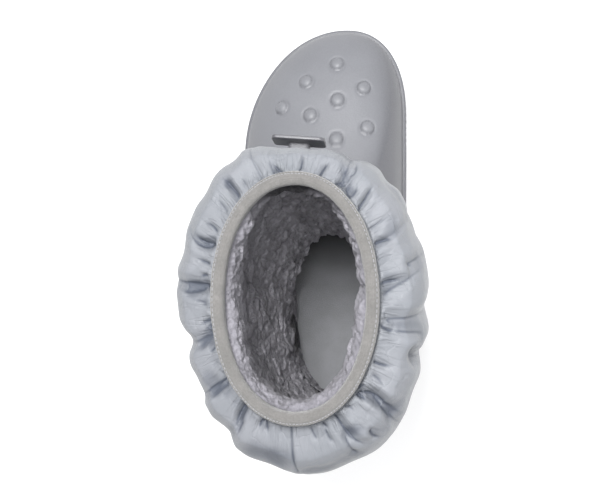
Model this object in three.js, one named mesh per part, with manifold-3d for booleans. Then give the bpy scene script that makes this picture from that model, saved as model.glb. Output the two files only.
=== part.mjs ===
// A left winter boot: a moulded foam clog with a ribbed foam sole, and a padded nylon shaft that an
// elastic band gathers at the collar. Millimetres. The toe points to +Y, the inner side of the foot to
// +X and up is +Z. The origin is on the floor, under the middle of the heel.

import * as THREE from "three";
import { mergeVertices } from "three/addons/utils/BufferGeometryUtils.js";
import Module from "manifold-3d";

// Driving dimensions of the foam clog
const CLOG_LENGTH = 264.4;
const BALL_WIDTH = 114.4;
const HEEL_REACH = 38;
const RIM_HEIGHT = 27;
const TOE_SPRING = 11;
const ARCH_LIFT = 4;
const INSTEP_RISE = 63;
const THROAT_REACH = 150;
const SHELL_WALL = 3.5;
const RIM_STEP = 2.6;
const INSOLE_THICKNESS = 7;

// Driving dimensions of the shaft, its band and its tab
const BOOT_HEIGHT = 236;
const COLLAR_LENGTH = 133;
const COLLAR_WIDTH = 89;
const COLLAR_ACROSS = -9.6;
const COLLAR_ALONG = 47;
const BAND_WIDTH = 7.2;
const BAND_HEIGHT = 8;
const PUFF_SWELL = 30;
const ANKLE_WIDTH = 57;
const ANKLE_LENGTH = 112;
const ANKLE_ACROSS = -4.5;
const ANKLE_ALONG = 29;
const ANKLE_HEIGHT = 62;
const ANKLE_ARCH = 16;
const HEM_HEIGHT = 36.4;
const HEM_ARCH = 37;
const HEM_THICKNESS = 2.4;
const LINING_STEP = 2;
const TAB_WIDTH = 31;
const TAB_HEIGHT = 17;
const TAB_THICKNESS = 2.2;
const TAB_STAND_OFF = 11.2;
const TAB_CENTRE_HEIGHT = 167;

// Driving dimensions of the domes, side ribs and tread
const DOME_RADIUS = 4.6;
const DOME_RISE = 1.9;
const RIB_RADIUS = 1.4;
const RIB_PITCH = 9;
const TREAD_DEPTH = 3;
const TREAD_PITCH = 13;
const TREAD_GROOVE = 4;
const TREAD_MARGIN = 9;

// Gaps between two pieces that meet, and between the sole and the insole
const CLEARANCE = 0.3;
const INSOLE_CLEARANCE = 0.45;

const HEEL_END = -HEEL_REACH;
const TOE_END = CLOG_LENGTH - HEEL_REACH;
const PLAN_MIDDLE = (TOE_END + HEEL_END) / 2;
const DOME_POLE = 0.295 * CLOG_LENGTH + HEEL_END;
const LATERAL = -1;
const MEDIAL = 1;

// Points round every ring of the boot, the same for pieces that meet
const AROUND = 60;

// Half widths of the sole's outline: place as a share of the length from the heel, widths as shares of
// the ball width
const OUTLINE = [
  { along: 0.0, lateral: 0.34, medial: 0.34 },
  { along: 0.14, lateral: 0.355, medial: 0.345 },
  { along: 0.27, lateral: 0.4, medial: 0.35 },
  { along: 0.4, lateral: 0.475, medial: 0.361 },
  { along: 0.53, lateral: 0.568, medial: 0.37 },
  { along: 0.66, lateral: 0.627, medial: 0.372 },
  { along: 0.8, lateral: 0.632, medial: 0.372 },
  { along: 1.0, lateral: 0.632, medial: 0.372 },
];

// Round ends of the outline: reach as a share of the length, and the power of the curve
const TOE_ROUND = {
  lateral: { reach: 0.335, power: 1.94 },
  medial: { reach: 0.225, power: 2.3 },
};
const HEEL_ROUND = { reach: 0.143, power: 2.15 };

// Height of the sole's underside: shares of the length, of the toe spring and of the arch lift
const UNDERSIDE = [
  { along: 0.0, spring: 0.3, arch: 0 },
  { along: 0.05, spring: -0.06, arch: 0 },
  { along: 0.27, spring: -0.06, arch: 0 },
  { along: 0.34, spring: 0, arch: 0.6 },
  { along: 0.4, spring: 0, arch: 1 },
  { along: 0.46, spring: 0, arch: 0.6 },
  { along: 0.52, spring: -0.06, arch: 0 },
  { along: 0.76, spring: -0.06, arch: 0 },
  { along: 0.84, spring: 0.2, arch: 0 },
  { along: 0.92, spring: 0.54, arch: 0 },
  { along: 1.0, spring: 1, arch: 0 },
];

// Height of the sole's upper edge: shares of the rim height and of the toe spring
const RIM = [
  { along: 0.0, height: 1.02, spring: 0 },
  { along: 0.25, height: 0.98, spring: 0 },
  { along: 0.65, height: 0.9, spring: 0 },
  { along: 0.85, height: 0.9, spring: 0.25 },
  { along: 1.0, height: 0.9, spring: 0.66 },
];

// Height of the shell's crown over the rim, before its ends are rounded: shares of the instep's rise
const CROWN = [
  { along: 0.0, rise: 1.75 },
  { along: 0.22, rise: 1.67 },
  { along: 0.37, rise: 1.4 },
  { along: 0.48, rise: 1.15 },
  { along: 0.565, rise: 1.0 },
  { along: 0.67, rise: 0.89 },
  { along: 0.76, rise: 0.82 },
  { along: 0.86, rise: 0.765 },
  { along: 1.0, rise: 0.66 },
];

// Curve of the shell's section from rim to crown, at the toe, the heel and the two sides
const ARCH_POWER = {
  toe: { across: 2.7, up: 2.2 },
  heel: { across: 3, up: 2.2 },
  lateral: { across: 2.1, up: 1.9 },
  medial: { across: 2.7, up: 2.1 },
};

// Edge of the shell's opening, seen from the side: place as a share of the throat's reach from the heel,
// height over the rim as a share of the instep's rise
const TOPLINE = [
  { reach: -0.1, rise: 0.76 },
  { reach: 0.03, rise: 0.75 },
  { reach: 0.15, rise: 0.69 },
  { reach: 0.36, rise: 0.55 },
  { reach: 0.55, rise: 0.5 },
  { reach: 0.72, rise: 0.55 },
  { reach: 0.84, rise: 0.68 },
  { reach: 0.93, rise: 0.84 },
  { reach: 1.0, rise: 1.0 },
  { reach: 1.08, rise: 1.3 },
  { reach: 1.2, rise: 2 },
];

// Domes moulded on the vamp: place from the heel as a share of the length, and from the long axis as a
// share of the ball width, inner side positive
const DOMES = [
  { along: 0.896, across: -0.023 },
  { along: 0.85, across: -0.211 },
  { along: 0.831, across: 0.137 },
  { along: 0.796, across: -0.017 },
  { along: 0.784, across: -0.356 },
  { along: 0.761, across: -0.175 },
  { along: 0.726, across: 0.16 },
  { along: 0.693, across: -0.015 },
  { along: 0.668, across: -0.225 },
];

// Bulge of the padded shaft: rise as a share of its height, swell as a share of the full puff
const PUFF = [
  { rise: 0.0, swell: 0 },
  { rise: 0.04, swell: 0.34 },
  { rise: 0.11, swell: 0.57 },
  { rise: 0.22, swell: 0.68 },
  { rise: 0.33, swell: 0.6 },
  { rise: 0.41, swell: 0.44 },
  { rise: 0.45, swell: 0.36 },
  { rise: 0.5, swell: 0.5 },
  { rise: 0.6, swell: 0.84 },
  { rise: 0.75, swell: 1.0 },
  { rise: 0.87, swell: 0.94 },
  { rise: 0.96, swell: 0.68 },
  { rise: 1.0, swell: 0.08 },
];

// Inner face of the lining, from the ankle up: height as a share of the way from the ankle's ring to the
// band, lean as a share of the way back to that ring's place, inset from the band's inner edge
const LINING = [
  { height: 0, lean: 1, inset: 0 },
  { height: 0.47, lean: 0.45, inset: -7 },
  { height: 0.81, lean: 0, inset: 0 },
  { height: 0.947, lean: 0, inset: 2.8 },
  { height: 1, lean: 0, inset: -0.5 },
];

// Share of the puff that each side of the shaft takes: turn in degrees from the toe towards the outer side
const PUFF_SIDE = [
  { turn: 0, share: 0.56 },
  { turn: 16, share: 0.68 },
  { turn: 30, share: 0.87 },
  { turn: 60, share: 0.86 },
  { turn: 90, share: 0.91 },
  { turn: 120, share: 0.9 },
  { turn: 150, share: 0.99 },
  { turn: 180, share: 1.01 },
  { turn: 210, share: 0.99 },
  { turn: 240, share: 0.93 },
  { turn: 270, share: 0.86 },
  { turn: 300, share: 0.78 },
  { turn: 330, share: 0.71 },
  { turn: 345, share: 0.61 },
  { turn: 360, share: 0.56 },
];

// Folds pressed into the shaft from outside: turn in degrees from the toe towards the outer side, depth
// as a share of the puff, spread in degrees
const FOLDS = [
  { turn: 10, depth: 0.05, spread: 8 },
  { turn: 34, depth: 0.08, spread: 9 },
  { turn: 53, depth: 0.05, spread: 8 },
  { turn: 77, depth: 0.08, spread: 9 },
  { turn: 107, depth: 0.16, spread: 8 },
  { turn: 123, depth: 0.07, spread: 8 },
  { turn: 143, depth: 0.12, spread: 9 },
  { turn: 166, depth: 0.07, spread: 12 },
  { turn: 198, depth: 0.06, spread: 14 },
  { turn: 234, depth: 0.04, spread: 9 },
  { turn: 247, depth: 0.13, spread: 8 },
  { turn: 261, depth: 0.12, spread: 8 },
  { turn: 290, depth: 0.11, spread: 12 },
  { turn: 313, depth: 0.09, spread: 8 },
  { turn: 334, depth: 0.09, spread: 8 },
  { turn: 354, depth: 0.05, spread: 8 },
];

// Look of each piece
const LOOKS = {
  sole: { color: 0x9a9ba1, roughness: 0.65 },
  shell: { color: 0xa6a7ad, roughness: 0.6 },
  insole: { color: 0x84858a, roughness: 0.95 },
  shaft: { color: 0xaeb4bf, roughness: 0.42 },
  collar_band: { color: 0x9b9896, roughness: 0.9 },
  front_tab: { color: 0x8b8c92, roughness: 0.5 },
};

const wasm = await Module();
wasm.setup();

// Value of a table's column at a place, on a smooth curve through its rows that never overshoots them
function curve(table, key, column, place) {
  const last = table.length - 1;
  const held = Math.min(Math.max(place, table[0][key]), table[last][key]);
  let row = 0;
  while (row < last - 1 && held > table[row + 1][key]) row += 1;
  const slope = (a, b) => (table[b][column] - table[a][column]) / (table[b][key] - table[a][key]);
  const tangent = (at) => {
    if (at === 0 || at === last) return 0;
    const before = slope(at - 1, at);
    const after = slope(at, at + 1);
    return before * after <= 0 ? 0 : (2 * before * after) / (before + after);
  };
  const span = table[row + 1][key] - table[row][key];
  const t = (held - table[row][key]) / span;
  const from = table[row][column];
  const to = table[row + 1][column];
  const leave = tangent(row) * span;
  const arrive = tangent(row + 1) * span;
  const bend = 3 * (to - from) - 2 * leave - arrive;
  const turn = leave + arrive - 2 * (to - from);
  return from + t * (leave + t * (bend + t * turn));
}

const shareAlong = (y) => (y - HEEL_END) / CLOG_LENGTH;

// Height of the underside over the floor
function undersideHeight(y) {
  const spring = curve(UNDERSIDE, "along", "spring", shareAlong(y)) * TOE_SPRING;
  return spring + curve(UNDERSIDE, "along", "arch", shareAlong(y)) * ARCH_LIFT;
}

// Height of the sole's upper edge over the floor
function rimHeight(y) {
  const height = curve(RIM, "along", "height", shareAlong(y)) * RIM_HEIGHT;
  return height + curve(RIM, "along", "spring", shareAlong(y)) * TOE_SPRING;
}

const crownRise = (y) => curve(CROWN, "along", "rise", shareAlong(y)) * INSTEP_RISE;

// Height of the shell's opening edge over the floor
function toplineHeight(y) {
  return rimHeight(y) + curve(TOPLINE, "reach", "rise", (y - HEEL_END) / THROAT_REACH) * INSTEP_RISE;
}

// Share of the full width that is left near a round end
function endShare(distance, reach, power) {
  if (distance >= reach) return 1;
  const gone = (reach - Math.max(distance, 0)) / reach;
  return (1 - gone ** power) ** (1 / power);
}

// Half width of the outline at y, on one side, taken in by an inset
function halfWidth(side, y, inset) {
  const name = side === LATERAL ? "lateral" : "medial";
  const full = curve(OUTLINE, "along", name, shareAlong(y)) * BALL_WIDTH - inset;
  const toe = TOE_ROUND[name];
  const toeShare = endShare(TOE_END - inset - y, toe.reach * CLOG_LENGTH - inset, toe.power);
  const heelReach = HEEL_ROUND.reach * CLOG_LENGTH - inset;
  return full * toeShare * endShare(y - HEEL_END - inset, heelReach, HEEL_ROUND.power);
}

// Point of the outline at a turn from the toe, anticlockwise seen from above
function outlinePoint(turn, inset) {
  const y = PLAN_MIDDLE + Math.cos(turn) * (CLOG_LENGTH / 2 - inset);
  const side = Math.sin(turn) > 0 ? LATERAL : MEDIAL;
  const atTip = Math.abs(Math.sin(turn)) < 1e-9;
  return { x: atTip ? 0 : side * halfWidth(side, y, inset), y };
}

// Shares across and up of the shell's section, at a climb from 0 at the rim to 1 at the crown
function archShares(turn, climb) {
  const end = Math.cos(turn) > 0 ? ARCH_POWER.toe : ARCH_POWER.heel;
  const side = Math.sin(turn) > 0 ? ARCH_POWER.lateral : ARCH_POWER.medial;
  const sideways = Math.sin(turn) ** 2;
  const acrossPower = end.across + (side.across - end.across) * sideways;
  const upPower = end.up + (side.up - end.up) * sideways;
  const angle = (climb * Math.PI) / 2;
  return {
    across: Math.max(Math.cos(angle), 0) ** (2 / acrossPower),
    up: Math.sin(angle) ** (2 / upPower),
  };
}

// Point of the shell at a turn and a climb, on a surface taken in by an inset
function shellPoint(turn, climb, inset) {
  const plan = outlinePoint(turn, RIM_STEP + inset);
  const { across, up } = archShares(turn, climb);
  const y = DOME_POLE + (plan.y - DOME_POLE) * across;
  const z = rimHeight(y) + CLEARANCE + (crownRise(y) - inset) * up;
  return new THREE.Vector3(plan.x * across, y, z);
}

// Point of the shell's surface at a turn, on an inset, as high as a test lets it climb
function climbWhile(turn, inset, below) {
  let low = 0;
  let high = 1;
  for (let step = 0; step < 40; step += 1) {
    const middle = (low + high) / 2;
    if (below(shellPoint(turn, middle, inset))) low = middle;
    else high = middle;
  }
  return shellPoint(turn, low, inset);
}

// Point where the shell's surface meets the opening's edge
function openingPoint(turn, inset) {
  return climbWhile(turn, inset, (at) => at.z < toplineHeight(at.y));
}

// Height of the shell's outer surface over a place in plan, and the surface's direction there
function vampAt(x, y) {
  let low = 0;
  let high = 1;
  for (let step = 0; step < 40; step += 1) {
    const climb = (low + high) / 2;
    const turn = vampTurn(x, y, climb);
    const at = shellPoint(turn, climb, 0);
    const inside = Math.hypot(at.x, at.y - DOME_POLE) > Math.hypot(x, y - DOME_POLE);
    if (inside) low = climb;
    else high = climb;
  }
  const turn = vampTurn(x, y, low);
  const at = shellPoint(turn, low, 0);
  const nudge = 0.02;
  const round = shellPoint(turn + nudge, low, 0).sub(shellPoint(turn - nudge, low, 0));
  const up = shellPoint(turn, low + nudge, 0).sub(shellPoint(turn, low - nudge, 0));
  return { at, facing: round.cross(up).normalize() };
}

// Turn at which the shell's ring of a climb lies in the direction of a place in plan
function vampTurn(x, y, climb) {
  const wanted = Math.atan2(-x, y - DOME_POLE);
  let low = -Math.PI / 2;
  let high = Math.PI / 2;
  for (let step = 0; step < 40; step += 1) {
    const turn = (low + high) / 2;
    const at = shellPoint(turn, climb, 0);
    if (Math.atan2(-at.x, at.y - DOME_POLE) < wanted) low = turn;
    else high = turn;
  }
  return (low + high) / 2;
}

// A closed surface through rings of points, each ring anticlockwise seen from outside its far end. Ends
// are closed by a fan to their middle, or the last ring joins the first.
function ringSurface(rings, joined) {
  const count = rings[0].length;
  const points = rings.flat();
  const faces = [];
  const spans = joined ? rings.length : rings.length - 1;
  for (let ring = 0; ring < spans; ring += 1) {
    const below = ring * count;
    const above = ((ring + 1) % rings.length) * count;
    for (let i = 0; i < count; i += 1) {
      const next = (i + 1) % count;
      faces.push(below + i, below + next, above + next);
      faces.push(below + i, above + next, above + i);
    }
  }
  if (!joined) {
    const middleOf = (ring) =>
      ring.reduce((sum, p) => sum.add(p), new THREE.Vector3()).divideScalar(count);
    const first = points.push(middleOf(rings[0])) - 1;
    const final = points.push(middleOf(rings[rings.length - 1])) - 1;
    const top = (rings.length - 1) * count;
    for (let i = 0; i < count; i += 1) {
      const next = (i + 1) % count;
      faces.push(first, next, i);
      faces.push(final, top + i, top + next);
    }
  }
  const geometry = new THREE.BufferGeometry().setFromPoints(points);
  geometry.setIndex(faces);
  return geometry;
}

// A ring of points from a function of the turn
function ring(pointAt) {
  return Array.from({ length: AROUND }, (_, i) => pointAt((i / AROUND) * 2 * Math.PI));
}

// A solid for cutting and joining, from a closed geometry
function solid(geometry) {
  const bare = geometry.clone();
  bare.deleteAttribute("normal");
  bare.deleteAttribute("uv");
  const merged = mergeVertices(bare, 1e-4);
  return new wasm.Manifold(
    new wasm.Mesh({
      numProp: 3,
      vertProperties: new Float32Array(merged.attributes.position.array),
      triVerts: new Uint32Array(merged.index.array),
    }),
  );
}

// The geometry of a solid
function geometryOf(body) {
  const mesh = body.getMesh();
  const geometry = new THREE.BufferGeometry();
  geometry.setAttribute("position", new THREE.BufferAttribute(mesh.vertProperties, 3));
  geometry.setIndex(new THREE.BufferAttribute(mesh.triVerts, 1));
  geometry.computeVertexNormals();
  return geometry;
}

// Rings across the inside of the outline, from its middle out, at a height that follows y
const UNDER_SHARES = [0.3, 0.62, 0.87];
const RIM_SHARES = [0.45, 0.82];
function fanRings(shares, inset, heightAt) {
  return shares.map((share) =>
    ring((turn) => {
      const plan = outlinePoint(turn, inset);
      const y = PLAN_MIDDLE + (plan.y - PLAN_MIDDLE) * share;
      return new THREE.Vector3(plan.x * share, y, heightAt(y));
    }),
  );
}

// Sidewall of the sole, from the floor up: inset, and height over the underside or below the rim
const SIDEWALL = [
  { inset: 6, over: 0 },
  { inset: 2.2, over: 2 },
  { inset: 0.4, over: 8 },
  { inset: 0, under: 5.4 },
  { inset: 1.4, under: 4.2 },
  { inset: 0, under: 3 },
  { inset: 0, under: 1 },
  { inset: 1, under: 0 },
];

// Place and length of each tread groove, across the heel and the forefoot
function treadPlaces() {
  const zones = [
    { from: HEEL_END + 0.06 * CLOG_LENGTH, to: HEEL_END + 0.26 * CLOG_LENGTH },
    { from: HEEL_END + 0.54 * CLOG_LENGTH, to: HEEL_END + 0.93 * CLOG_LENGTH },
  ];
  return zones.flatMap(({ from, to }) => {
    const grooves = Math.floor((to - from) / TREAD_PITCH);
    const start = (from + to - grooves * TREAD_PITCH) / 2;
    return Array.from({ length: grooves + 1 }, (_, i) => start + i * TREAD_PITCH);
  });
}

// One groove: a flat chevron that points to the toe, pressed into the underside at y
function treadGroove(y) {
  const reach = (side, at) => side * Math.max(halfWidth(side, at, TREAD_MARGIN), TREAD_GROOVE);
  const sweep = 0.16;
  const tail = (side) => reach(side, y - 8);
  const outline = new THREE.Shape();
  const edge = (x) => -Math.abs(x) * sweep;
  outline.moveTo(tail(LATERAL), edge(tail(LATERAL)) - TREAD_GROOVE / 2);
  outline.lineTo(0, -TREAD_GROOVE / 2);
  outline.lineTo(tail(MEDIAL), edge(tail(MEDIAL)) - TREAD_GROOVE / 2);
  outline.lineTo(tail(MEDIAL), edge(tail(MEDIAL)) + TREAD_GROOVE / 2);
  outline.lineTo(0, TREAD_GROOVE / 2);
  outline.lineTo(tail(LATERAL), edge(tail(LATERAL)) + TREAD_GROOVE / 2);
  const below = 6;
  const cutter = new THREE.ExtrudeGeometry(outline, { depth: TREAD_DEPTH + below, bevelEnabled: false });
  const slope = Math.atan2(undersideHeight(y + 3) - undersideHeight(y - 3), 6);
  cutter.translate(0, 0, -below);
  cutter.rotateX(slope);
  cutter.translate(0, y, Math.max(undersideHeight(y), 0));
  return solid(cutter);
}

// One upright rib on the sidewall
function sideRib(plan) {
  const foot = undersideHeight(plan.y) + 6.5;
  const head = rimHeight(plan.y) - 6;
  const rib = new THREE.CylinderGeometry(RIB_RADIUS, RIB_RADIUS, head - foot, 6);
  rib.rotateX(Math.PI / 2);
  rib.translate(plan.x, plan.y, (head + foot) / 2);
  return solid(rib);
}

// Places of the ribs, evenly spaced along the outline round the toe and round the heel
function ribPlaces() {
  const steps = 1440;
  const bare = { from: 0.13, to: 0.71 };
  const places = [];
  let travelled = RIB_PITCH;
  let before = outlinePoint(0, 0.5);
  for (let i = 0; i < steps; i += 1) {
    const at = outlinePoint((i / steps) * 2 * Math.PI, 0.5);
    travelled += Math.hypot(at.x - before.x, at.y - before.y);
    before = at;
    const share = shareAlong(at.y);
    if (travelled >= RIB_PITCH && (share < bare.from || share > bare.to)) {
      places.push(at);
      travelled = 0;
    }
  }
  return places;
}

// The sole: a foam block with toe spring, raised arch, ribbed sides and a grooved tread
function makeSole() {
  const underside = fanRings(UNDER_SHARES, SIDEWALL[0].inset, undersideHeight);
  const wall = SIDEWALL.map(({ inset, over, under }) =>
    ring((turn) => {
      const { x, y } = outlinePoint(turn, inset);
      const z = over === undefined ? rimHeight(y) - under : undersideHeight(y) + over;
      return new THREE.Vector3(x, y, z);
    }),
  );
  const top = fanRings(RIM_SHARES, SIDEWALL[SIDEWALL.length - 1].inset, rimHeight).reverse();
  let body = solid(ringSurface([...underside, ...wall, ...top], false));
  ribPlaces().forEach((plan) => {
    body = body.add(sideRib(plan));
  });
  treadPlaces().forEach((y) => {
    body = body.subtract(treadGroove(y));
  });
  const floorBlock = new THREE.BoxGeometry(2 * BALL_WIDTH, 2 * CLOG_LENGTH, 20);
  floorBlock.translate(0, PLAN_MIDDLE, -10);
  return geometryOf(body.subtract(solid(floorBlock)));
}

// Everything above the shell's opening edge, as one block seen from the side
function openingBlock() {
  const from = HEEL_END - 12;
  const to = HEEL_END + 1.2 * THROAT_REACH;
  const steps = 48;
  const ceiling = 3 * BOOT_HEIGHT;
  const profile = new THREE.Shape();
  profile.moveTo(from, ceiling);
  for (let i = 0; i <= steps; i += 1) {
    const y = from + ((to - from) * i) / steps;
    profile.lineTo(y, toplineHeight(y));
  }
  profile.lineTo(to, ceiling);
  const block = new THREE.ExtrudeGeometry(profile, { depth: 3 * BALL_WIDTH, bevelEnabled: false });
  block.rotateX(Math.PI / 2);
  block.rotateZ(Math.PI / 2);
  block.translate(-1.5 * BALL_WIDTH, 0, 0);
  return solid(block);
}

// One dome on the vamp, with most of its ball sunk in the shell's wall
function dome({ along, across }) {
  const { at, facing } = vampAt(across * BALL_WIDTH, HEEL_END + along * CLOG_LENGTH);
  const ball = (DOME_RADIUS ** 2 + DOME_RISE ** 2) / (2 * DOME_RISE);
  const sunk = SHELL_WALL / 2;
  const spread = Math.acos((ball - DOME_RISE) / ball);
  const steps = 3;
  const profile = [new THREE.Vector2(0, -sunk), new THREE.Vector2(DOME_RADIUS, -sunk)];
  for (let i = 0; i <= steps; i += 1) {
    const angle = spread * (1 - i / steps);
    const radius = i === steps ? 0 : ball * Math.sin(angle);
    profile.push(new THREE.Vector2(radius, ball * Math.cos(angle) - ball + DOME_RISE));
  }
  const button = new THREE.LatheGeometry(profile, 10);
  const upright = new THREE.Vector3(0, 1, 0);
  button.applyQuaternion(new THREE.Quaternion().setFromUnitVectors(upright, facing));
  button.translate(at.x, at.y, at.z);
  return solid(button);
}

const OUTER_CLIMBS = [0, 0.06, 0.14, 0.24, 0.35, 0.46, 0.57, 0.67, 0.76, 0.84, 0.91, 0.97];
const INNER_CLIMBS = [0, 0.06, 0.14, 0.3, 0.5, 0.67, 0.8, 0.91, 0.97];

// The shell: the clog's hollow foam upper, open at the top for the shaft and underneath for the sole
function makeShell() {
  const skin = (climbs, inset) =>
    climbs.map((climb) => ring((turn) => shellPoint(turn, climb, inset)));
  const outside = skin(OUTER_CLIMBS, 0);
  const inside = skin(INNER_CLIMBS, SHELL_WALL).reverse();
  let body = solid(ringSurface([...inside, ...outside], false));
  DOMES.forEach((place) => {
    body = body.add(dome(place));
  });
  return geometryOf(body.subtract(openingBlock()));
}

// The insole: a felt-topped board that lies on the sole inside the shell
function makeInsole() {
  const inset = SHELL_WALL + CLEARANCE;
  const edge = (extra, over) =>
    ring((turn) =>
      climbWhile(turn, inset + extra, (at) => at.z < rimHeight(at.y) + over),
    );
  const foot = INSOLE_CLEARANCE;
  const head = foot + INSOLE_THICKNESS;
  const rings = [
    ...fanRings(RIM_SHARES, RIM_STEP + inset + 1, (y) => rimHeight(y) + foot),
    edge(1, foot),
    edge(0, foot + 1.5),
    edge(0, head - 1.5),
    edge(2, head),
    ...fanRings(RIM_SHARES, RIM_STEP + inset + 2, (y) => rimHeight(y) + head).reverse(),
  ];
  return ringSurface(rings, false);
}

// Point of an upright oval at a turn, from its middle
function ovalPoint(turn, width, length, power) {
  const sine = Math.sin(turn);
  const cosine = Math.cos(turn);
  const x = (-Math.sign(sine) * Math.abs(sine) ** (2 / power) * width) / 2;
  const y = (Math.sign(cosine) * Math.abs(cosine) ** (2 / power) * length) / 2;
  return new THREE.Vector3(x, y, 0);
}

// Point of the collar at a turn, from its middle, taken in by an inset
function collarPoint(turn, inset, z) {
  return ovalPoint(turn, COLLAR_WIDTH - 2 * inset, COLLAR_LENGTH - 2 * inset, 2.08).setZ(z);
}

// How far the folds press the shaft in at a turn, as a share of the puff
function foldDepth(turn) {
  const degrees = THREE.MathUtils.radToDeg(turn);
  return FOLDS.reduce((sum, fold) => {
    const away = Math.abs(((degrees - fold.turn + 540) % 360) - 180) / fold.spread;
    return away >= 1 ? sum : sum + fold.depth * (0.5 + 0.5 * Math.cos(away * Math.PI));
  }, 0);
}

// Outward push at a turn, for a full swell of one
function puffDirection(turn) {
  const share = curve(PUFF_SIDE, "turn", "share", THREE.MathUtils.radToDeg(turn));
  return new THREE.Vector3(-Math.sin(turn) * share, Math.cos(turn) * share, 0);
}

const SHAFT_TOP = BOOT_HEIGHT - BAND_HEIGHT - CLEARANCE;
const COLLAR_MIDDLE = new THREE.Vector3(COLLAR_ACROSS, COLLAR_ALONG, 0);

// Point of the shaft's outer face at a turn and a rise from 0 at the shell to 1 under the band, pushed
// out by a margin
function shaftOutside(turn, rise, margin = 0) {
  const foot = seatPoint(turn, 0);
  const head = collarPoint(turn, 1, SHAFT_TOP).add(COLLAR_MIDDLE);
  const pressed = foldDepth(turn) * Math.min(rise / 0.6, 1);
  const swell = curve(PUFF, "rise", "swell", rise) * (1 - pressed) * PUFF_SWELL + margin;
  return foot.lerp(head, rise).addScaledVector(puffDirection(turn), swell);
}

// How far a turn looks towards the toe, from 0 at the sides and the heel to 1 in front
const facesToe = (turn) => THREE.MathUtils.smoothstep(Math.cos(turn), -0.1, 0.75);

// Point of the lining's narrowest ring in plan, taken out by a margin
function anklePoint(turn, margin) {
  const at = ovalPoint(turn, ANKLE_WIDTH + 2 * margin, ANKLE_LENGTH + 2 * margin, 2.15);
  return at.add(new THREE.Vector3(ANKLE_ACROSS, ANKLE_ALONG, 0));
}

// Point of the lining's inner face over the ankle
function liningPoint(turn, { height, lean, inset }) {
  const at = collarPoint(turn, BAND_WIDTH + inset, 0).add(COLLAR_MIDDLE);
  const ankle = ANKLE_HEIGHT + ANKLE_ARCH * facesToe(turn);
  return at.lerp(anklePoint(turn, 0), lean).setZ(ankle + (SHAFT_TOP - ankle) * height);
}

// Point of the lining's hem over the insole, which arches over the foot in front
function hemPoint(turn, margin) {
  return anklePoint(turn, margin).setZ(HEM_HEIGHT + HEM_ARCH * facesToe(turn));
}

// Point of the shaft's seat on the shell's edge
function seatPoint(turn, inset) {
  const at = openingPoint(turn, inset);
  return at.setZ(at.z + CLEARANCE);
}

const shaftRings = (margin) =>
  PUFF.map(({ rise }) => ring((turn) => shaftOutside(turn, rise, margin)));

// The shaft: a padded nylon tube in two puffs on the shell's edge, with a pile lining that reaches down
// to the insole
function makeShaft() {
  const inside = LINING.map((row) => ring((turn) => liningPoint(turn, row))).reverse();
  const hem = [0, HEM_THICKNESS].map((margin) => ring((turn) => hemPoint(turn, margin)));
  const seat = ring((turn) => seatPoint(turn, SHELL_WALL + LINING_STEP));
  return ringSurface([...shaftRings(0), ...inside, ...hem, seat], true);
}

// Section of the collar band: inset from its outer edge as a share of its width, height as a share of
// its own, clockwise from the outer foot
const BAND_SECTION = [
  { inset: 0.03, up: 0 },
  { inset: 0, up: 0.5 },
  { inset: 0.2, up: 0.93 },
  { inset: 0.5, up: 1 },
  { inset: 0.85, up: 0.88 },
  { inset: 1, up: 0.45 },
  { inset: 0.95, up: 0 },
];

// The collar band: an elastic ring folded over the shaft's upper edge, with its foot at zero
function makeBand() {
  const rings = BAND_SECTION.map(({ inset, up }) =>
    ring((turn) => collarPoint(turn, inset * BAND_WIDTH, up * BAND_HEIGHT)),
  );
  return ringSurface(rings, true);
}

// A flat bar with round corners, standing up in the XZ plane and centred on the origin
function uprightBar(width, height, depth, corner, bevel) {
  const w = width / 2 - bevel;
  const h = height / 2 - bevel;
  const r = corner - bevel;
  const outline = new THREE.Shape();
  outline.absarc(w - r, -h + r, r, -Math.PI / 2, 0, false);
  outline.absarc(w - r, h - r, r, 0, Math.PI / 2, false);
  outline.absarc(-w + r, h - r, r, Math.PI / 2, Math.PI, false);
  outline.absarc(-w + r, -h + r, r, Math.PI, 1.5 * Math.PI, false);
  const bar = new THREE.ExtrudeGeometry(outline, {
    depth: depth - 2 * bevel,
    bevelEnabled: bevel > 0,
    bevelThickness: bevel,
    bevelSize: bevel,
    bevelSegments: 1,
    curveSegments: 2,
  });
  bar.translate(0, 0, bevel - depth / 2);
  bar.rotateX(Math.PI / 2);
  return bar;
}

const TAB_TURN = THREE.MathUtils.degToRad(10.5);
const TAB_YAW = THREE.MathUtils.degToRad(-4.5);
const TAB_LEAN = THREE.MathUtils.degToRad(-10);

// Raised bars on the tab's front, as shares of its width from its middle
const TAB_BARS = [-0.28, 0, 0.28];

// Where the tab's plate stands: in front of the shaft, turned and leaning forward
function tabPlace() {
  const foot = openingPoint(TAB_TURN, 0).z;
  const seat = shaftOutside(TAB_TURN, (TAB_CENTRE_HEIGHT - foot) / (SHAFT_TOP - foot));
  return new THREE.Matrix4()
    .makeTranslation(seat.x, seat.y + TAB_STAND_OFF, TAB_CENTRE_HEIGHT)
    .multiply(new THREE.Matrix4().makeRotationZ(TAB_YAW))
    .multiply(new THREE.Matrix4().makeRotationX(TAB_LEAN));
}

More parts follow.
